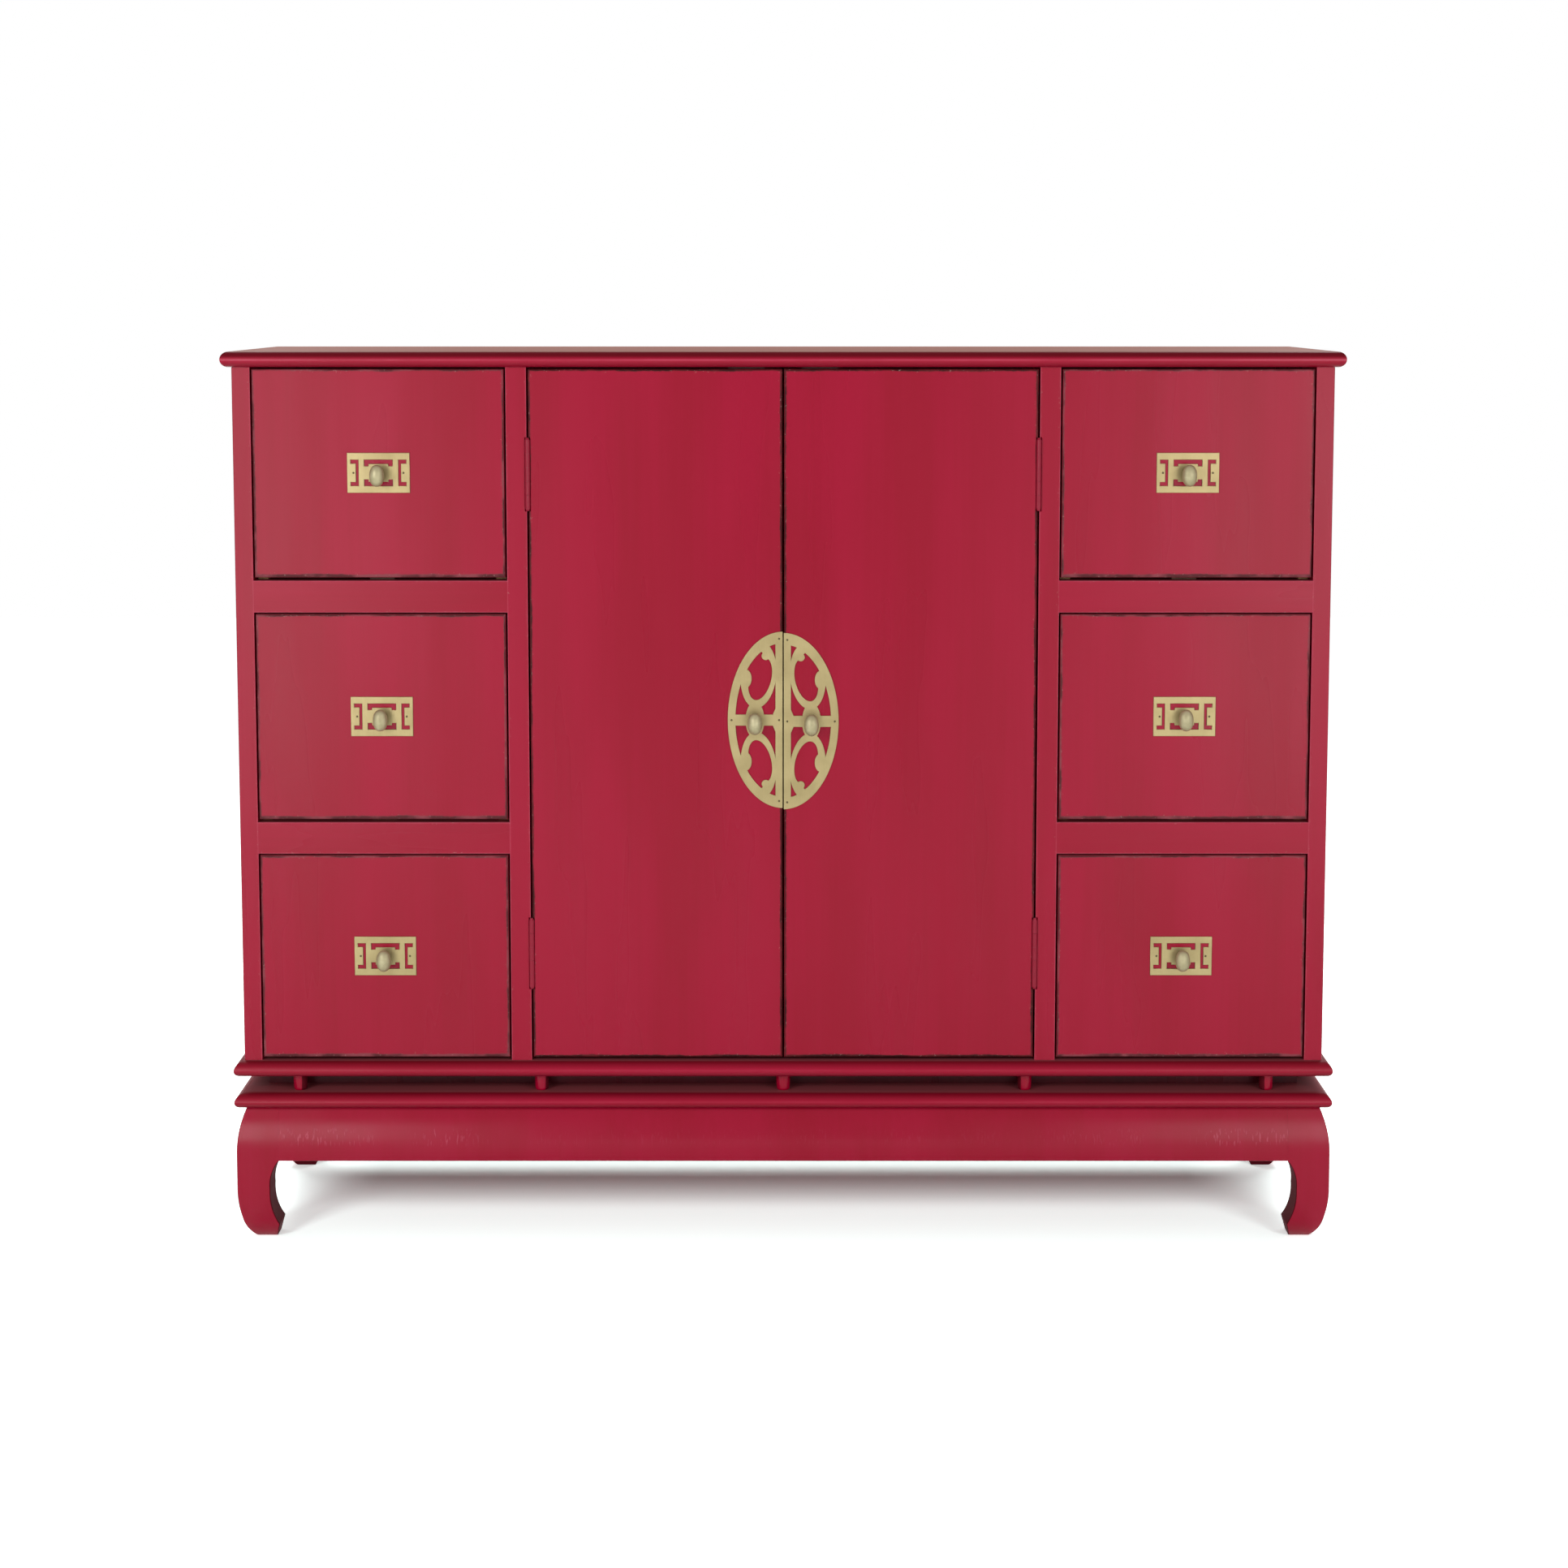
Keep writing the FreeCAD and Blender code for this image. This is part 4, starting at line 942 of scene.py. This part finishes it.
@dataclass
class Knob(SubAssembly):
    """An oval brass knob on a flared stem."""

    name: str = ""
    stem_radius: float = 3.6 * MM
    foot_radius: float = 5.4 * MM
    roundness: float = 2.2
    depth_share: float = 0.95
    steps: int = 20
    turns: int = 40

    def ball(self, middle: Vector, half: Vector) -> bmesh.types.BMesh:
        """The oval ball, spun about its upright axis and pressed to its depth.

        Args:
            middle: Its centre.
            half: Half its width, depth and height.

        Returns:
            The ball, closed at both poles.
        """
        shape = bmesh.new()
        ring = []
        for step in range(self.steps + 1):
            angle = math.pi * (step / self.steps - 0.5)
            across = abs(math.cos(angle)) ** (2 / self.roundness)
            up = math.copysign(abs(math.sin(angle)) ** (2 / self.roundness), angle)
            ring.append(shape.verts.new((across * half.x, 0, up * half.z)))
        edges = [shape.edges.new(pair) for pair in zip(ring, ring[1:])]
        bmesh.ops.spin(shape, geom=ring + edges, cent=(0, 0, 0), axis=(0, 0, 1), angle=FULL_TURN,
                       steps=self.turns, use_merge=True)
        bmesh.ops.scale(shape, vec=(1, half.y / half.x, 1), verts=shape.verts)
        bmesh.ops.translate(shape, vec=middle, verts=shape.verts)
        return shape

    def stem(self, shape: bmesh.types.BMesh, middle: Vector, back: float) -> None:
        """Add the stem to the ball, spun about the line that points out of the front.

        Args:
            shape: The ball, which gains the stem.
            middle: The ball's centre, where the stem ends.
            back: The Y of the plate, where it starts.
        """
        reach = back - middle.y
        profile = ((self.foot_radius, 0), (self.foot_radius, 0.05), (self.foot_radius * 0.86, 0.1),
                   (self.stem_radius, 0.3), (self.stem_radius * 0.94, 0.5), (self.stem_radius * 1.2, 0.8))
        line = [shape.verts.new((middle.x + radius, back - share * reach, middle.z))
                for radius, share in profile]
        edges = [shape.edges.new(pair) for pair in zip(line, line[1:])]
        bmesh.ops.spin(shape, geom=line + edges, cent=middle, axis=(0, 1, 0), angle=FULL_TURN,
                       steps=self.turns, use_merge=True)

    def build(self) -> None:
        """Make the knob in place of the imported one."""
        low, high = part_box(self.name)
        half = Vector((high.x - low.x, (high.x - low.x) * self.depth_share, high.z - low.z)) / 2
        middle = Vector(((low.x + high.x) / 2, low.y + half.y, (low.z + high.z) / 2))
        shape = self.ball(middle, half)
        self.stem(shape, middle, high.y)
        close_up(shape)
        finish_piece(shape, f"{self.name}_turned", TURNED_BRASS, self.body, [self.name])


@dataclass
class PiercedPlate(SubAssembly):
    """A pierced brass plate with rubbed edges, held by round-headed nails."""

    name: str = ""
    nails: tuple[tuple[float, float], ...] = ()
    rim: float = 0.6 * MM
    nail_radius: float = 1.3 * MM
    nail_rise: float = 0.55 * MM
    nail_turns: int = 16
    dome_angles: tuple[float, ...] = (0, 0.5, 1.0, math.pi / 2)

    def plate(self) -> None:
        """The plate itself, its front edges rubbed round."""
        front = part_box(self.name)[0].y
        shape = merged_copy(self.name)
        soften(shape, self.rim, lambda edge: is_arris(edge) and all(
            abs(corner.co.y - front) < self.rim / 10 for corner in edge.verts))
        finish_piece(shape, f"{self.name}_rubbed", BRASS_SHEET, self.body, [self.name])

    def nail_heads(self) -> None:
        """Domed nail heads, spun one by one and kept in one piece."""
        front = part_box(self.name)[0].y
        profile = [(math.cos(angle), math.sin(angle)) for angle in self.dome_angles]
        shape = bmesh.new()
        for x, z in self.nails:
            line = [shape.verts.new((x + across * self.nail_radius, front - up * self.nail_rise, z))
                    for across, up in profile]
            edges = [shape.edges.new(pair) for pair in zip(line, line[1:])]
            bmesh.ops.spin(shape, geom=line + edges, cent=(x, front, z), axis=(0, 1, 0), angle=FULL_TURN,
                           steps=self.nail_turns, use_merge=True)
        close_up(shape)
        finish_piece(shape, f"{self.name}_nails", NAIL_BRASS, self.body)

    def build(self) -> None:
        """Make the plate and its nails."""
        self.plate()
        self.nail_heads()


@dataclass
class Drawer(SubAssembly):
    """One drawer: front, box, pierced plate and knob."""

    nail_offset: float = 30.4 * MM
    more_below: float = 1.6 * MM

    def build(self) -> None:
        """Dress the front and the box, and make the fittings."""
        front = f"{self.body}_front"
        self.dress(front, RedLacquer(f"red_lacquer_{front}", wear_and_painted_light=node_frame(front, self.more_below)))
        self.dress(f"{self.body}_box", DRAWER_WOOD)
        plate = f"{self.body}_plate"
        low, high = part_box(plate)
        middle = (low + high) / 2
        nails = tuple((middle.x + sign * self.nail_offset, middle.z) for sign in SIDES.values())
        PiercedPlate(self.body, plate, nails).build()
        Knob(self.body, f"{self.body}_knob").build()


@dataclass
class Door(SubAssembly):
    """One door: panel, half of the oval plate, knob, hinge leaves and strike."""

    side: int = -1
    strip_nail: float = 5.0 * MM
    end_nail: float = 100.5 * MM
    rim_nail: float = 63.3 * MM
    more_below: float = 0.4 * MM

    def build(self) -> None:
        """Dress the panel and its hinges, and make the fittings."""
        panel = f"{self.body}_panel"
        # The panel's front is darkened to a dark brown along its four edges, beside the gaps, with near-black
        # patches
        wear_and_painted_light = node_frame(panel, self.more_below, ground="#4d1d1d", bare="#290e0e")
        self.dress(panel, RedLacquer(f"red_lacquer_{panel}", wear_and_painted_light=wear_and_painted_light))
        plate = f"{self.body}_plate"
        low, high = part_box(plate)
        level = (low.z + high.z) / 2
        nails = [(self.side * self.strip_nail, level + rise) for rise in (self.end_nail, 0, -self.end_nail)]
        nails.append((self.side * self.rim_nail, level))
        PiercedPlate(self.body, plate, tuple(nails)).build()
        Knob(self.body, f"{self.body}_knob").build()
        self.dress(f"{self.body}_hinge_leaves", PAINTED_HINGE)
        self.dress(f"{self.body}_strike", STRIKE_STEEL)


@dataclass
class Hinges(SubAssembly):
    """The hinge leaves on the case, and the pins."""

    body: str = "case"

    def build(self) -> None:
        """Paint them like the case."""
        self.dress("case_hinge_leaves", PAINTED_HINGE)
        self.dress("hinge_pins", PAINTED_HINGE)


@dataclass(frozen=True)
class SoftBox:
    """A rectangular lamp that faces the middle of the object."""

    name: str
    place: tuple[float, float, float]
    size: tuple[float, float]
    power: float

    def light(self, target: Vector) -> None:
        """Hang the lamp and turn it to a place.

        Args:
            target: The place.
        """
        data = bpy.data.lights.new(self.name, "AREA")
        data.shape = "RECTANGLE"
        data.size, data.size_y = self.size
        data.energy = self.power
        lamp = bpy.data.objects.new(self.name, data)
        lamp.location = self.place
        lamp.rotation_euler = (target - lamp.location).to_track_quat("-Z", "Y").to_euler()
        bpy.context.scene.collection.objects.link(lamp)


SOFT_BOXES = (
    SoftBox("left_box", (-1.6, -4.0, 0.45), (1.2, 1.5), 32),
    SoftBox("right_box", (1.6, -4.0, 0.65), (1.2, 1.3), 24),
    SoftBox("left_near_box", (-1.8, -2.4, 1.45), (0.6, 0.75), 27.5),
    SoftBox("right_near_box", (1.8, -2.4, 1.45), (0.6, 0.75), 19.5),
    SoftBox("left_back_box", (-1.6, 1.7, 2.4), (1.0, 1.0), 34),
    SoftBox("right_back_box", (1.6, 1.7, 2.4), (1.0, 1.0), 34),
)


@dataclass
class Studio:
    """A plain white floor, soft boxes and the camera."""

    floor_size: float = 14.0
    paint: str = "#e2f1ee"
    lamp_target: tuple[float, float, float] = (0.0, 0.0, 0.6)
    dome_light: float = 0.24
    camera_side: float = 1.0 * MM
    camera_height: float = 1.172
    camera_distance: float = 3.6
    camera_pitch: float = 6.08
    focal_pixels: float = 3661.5
    frame_pixels: float = 1932.0
    sensor: float = 36.0
    shift: float = -0.11
    shadow_centre: float = 0.17
    shadow_side: tuple[float, float] = (0.7, 0.54)
    shadow_depth: tuple[float, float] = (0.2, 0.08)
    lift: float = 0.38
    far_lift: float = 0.3
    far_reach: tuple[float, float] = (1.2, 3.0)

    def camera(self) -> None:
        """The camera at the photograph's viewpoint, tipped down a little, so that it needs less shift."""
        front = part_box("top_board")[0].y
        data = bpy.data.cameras.new("camera")
        data.sensor_width = self.sensor
        data.lens = self.focal_pixels / self.frame_pixels * self.sensor
        data.shift_y = self.shift
        camera = bpy.data.objects.new("camera", data)
        camera.location = (self.camera_side, front - self.camera_distance, self.camera_height)
        camera.rotation_euler = (math.radians(90 - self.camera_pitch), 0, 0)
        bpy.context.scene.collection.objects.link(camera)
        bpy.context.scene.camera = camera

    def seen(self, tree: Tree) -> Socket:
        """One for what the camera, gloss and glass see, nought for what only lights the object.

        Args:
            tree: The node tree of the floor's material or of the world.

        Returns:
            One or nought.
        """
        rays = add_node(tree, "LightPath").node.outputs
        share = add_node(tree, "Math", (rays["Is Camera Ray"], rays["Is Glossy Ray"]), operation="MAXIMUM")
        return add_node(tree, "Math", (share, rays["Is Transmission Ray"]), operation="MAXIMUM")

    def glow(self, tree: Tree) -> Socket:
        """How much of the floor's white is its own: little under the object, more round it and far away.

        Args:
            tree: The floor's node tree.

        Returns:
            The strength.
        """
        place = add_node(tree, "TexCoord", out="Object")
        centre = (0.0, self.shadow_centre, 0.0)
        offset = add_node(tree, "VectorMath", (place, centre), operation="SUBTRACT")
        away = add_node(tree, "VectorMath", (offset,), operation="ABSOLUTE")
        parts = add_node(tree, "SeparateXYZ", (away,)).node.outputs
        across = add_node(tree, "MapRange", (parts["X"], *self.shadow_side))
        deep = add_node(tree, "MapRange", (parts["Y"], *self.shadow_depth))
        under = add_node(tree, "Math", (across, deep), operation="MULTIPLY")
        near = add_node(tree, "MapRange", (under, 0, 1, self.lift, 0))
        distance = add_node(tree, "VectorMath", (away,), "Value", operation="LENGTH")
        far = add_node(tree, "MapRange", (distance, *self.far_reach, 0, self.far_lift))
        whole = add_node(tree, "Math", (near, far), operation="ADD")
        return add_node(tree, "Math", (whole, self.seen(tree)), operation="MULTIPLY")

    def floor(self) -> None:
        """A white floor, seen twice as bright as it lights the object, that keeps the shadow."""
        shape = bmesh.new()
        bmesh.ops.create_grid(shape, x_segments=1, y_segments=1, size=self.floor_size / 2)
        mesh = bpy.data.meshes.new("floor")
        shape.to_mesh(mesh)
        shape.free()
        material = bpy.data.materials.new("white_studio_floor")
        material.use_nodes = True
        tree = material.node_tree
        tree.nodes.clear()
        white = colour(self.paint)
        paint = add_node(tree, "BsdfDiffuse", {"Color": white})
        doubled = add_node(tree, "Mix", {0: self.seen(tree), COLOUR_A: colour("#000000"),
                                         COLOUR_B: white}, BLEND, data_type="RGBA")
        for extra in (add_node(tree, "BsdfDiffuse", {"Color": doubled}),
                      add_node(tree, "Emission", {"Strength": self.glow(tree)})):
            paint = add_node(tree, "AddShader", (paint, extra))
        add_node(tree, "OutputMaterial", {"Surface": paint})
        mesh.materials.append(material)
        floor = bpy.data.objects.new("floor", mesh)
        bpy.context.scene.collection.objects.link(floor)

    def world(self) -> None:
        """White where it is seen; as light, a soft even dome."""
        world = bpy.data.worlds.new("studio")
        world.use_nodes = True
        tree = world.node_tree
        tree.nodes.clear()
        strength = add_node(tree, "Math", (self.dome_light, self.seen(tree)), operation="MAXIMUM")
        sky = add_node(tree, "Background", {"Color": colour("#ffffff"), "Strength": strength})
        add_node(tree, "OutputWorld", {"Surface": sky})
        bpy.context.scene.world = world

    def build(self) -> None:
        """Set up the studio."""
        self.floor()
        self.world()
        for box in SOFT_BOXES:
            box.light(Vector(self.lamp_target))
        self.camera()
        bpy.context.scene.view_settings.view_transform = "Standard"


def main() -> None:
    """Build the sideboard's sub-assemblies in order, then the studio round them."""
    logging.basicConfig(level=logging.INFO, format="%(name)s %(message)s")
    Case().build()
    Stand().build()
    Hinges().build()
    for name, side in SIDES.items():
        Door(f"{name}_door", side).build()
        for level in LEVELS:
            Drawer(f"{name}_{level}_drawer").build()
    Studio().build()


if __name__ == "__main__":
    main()
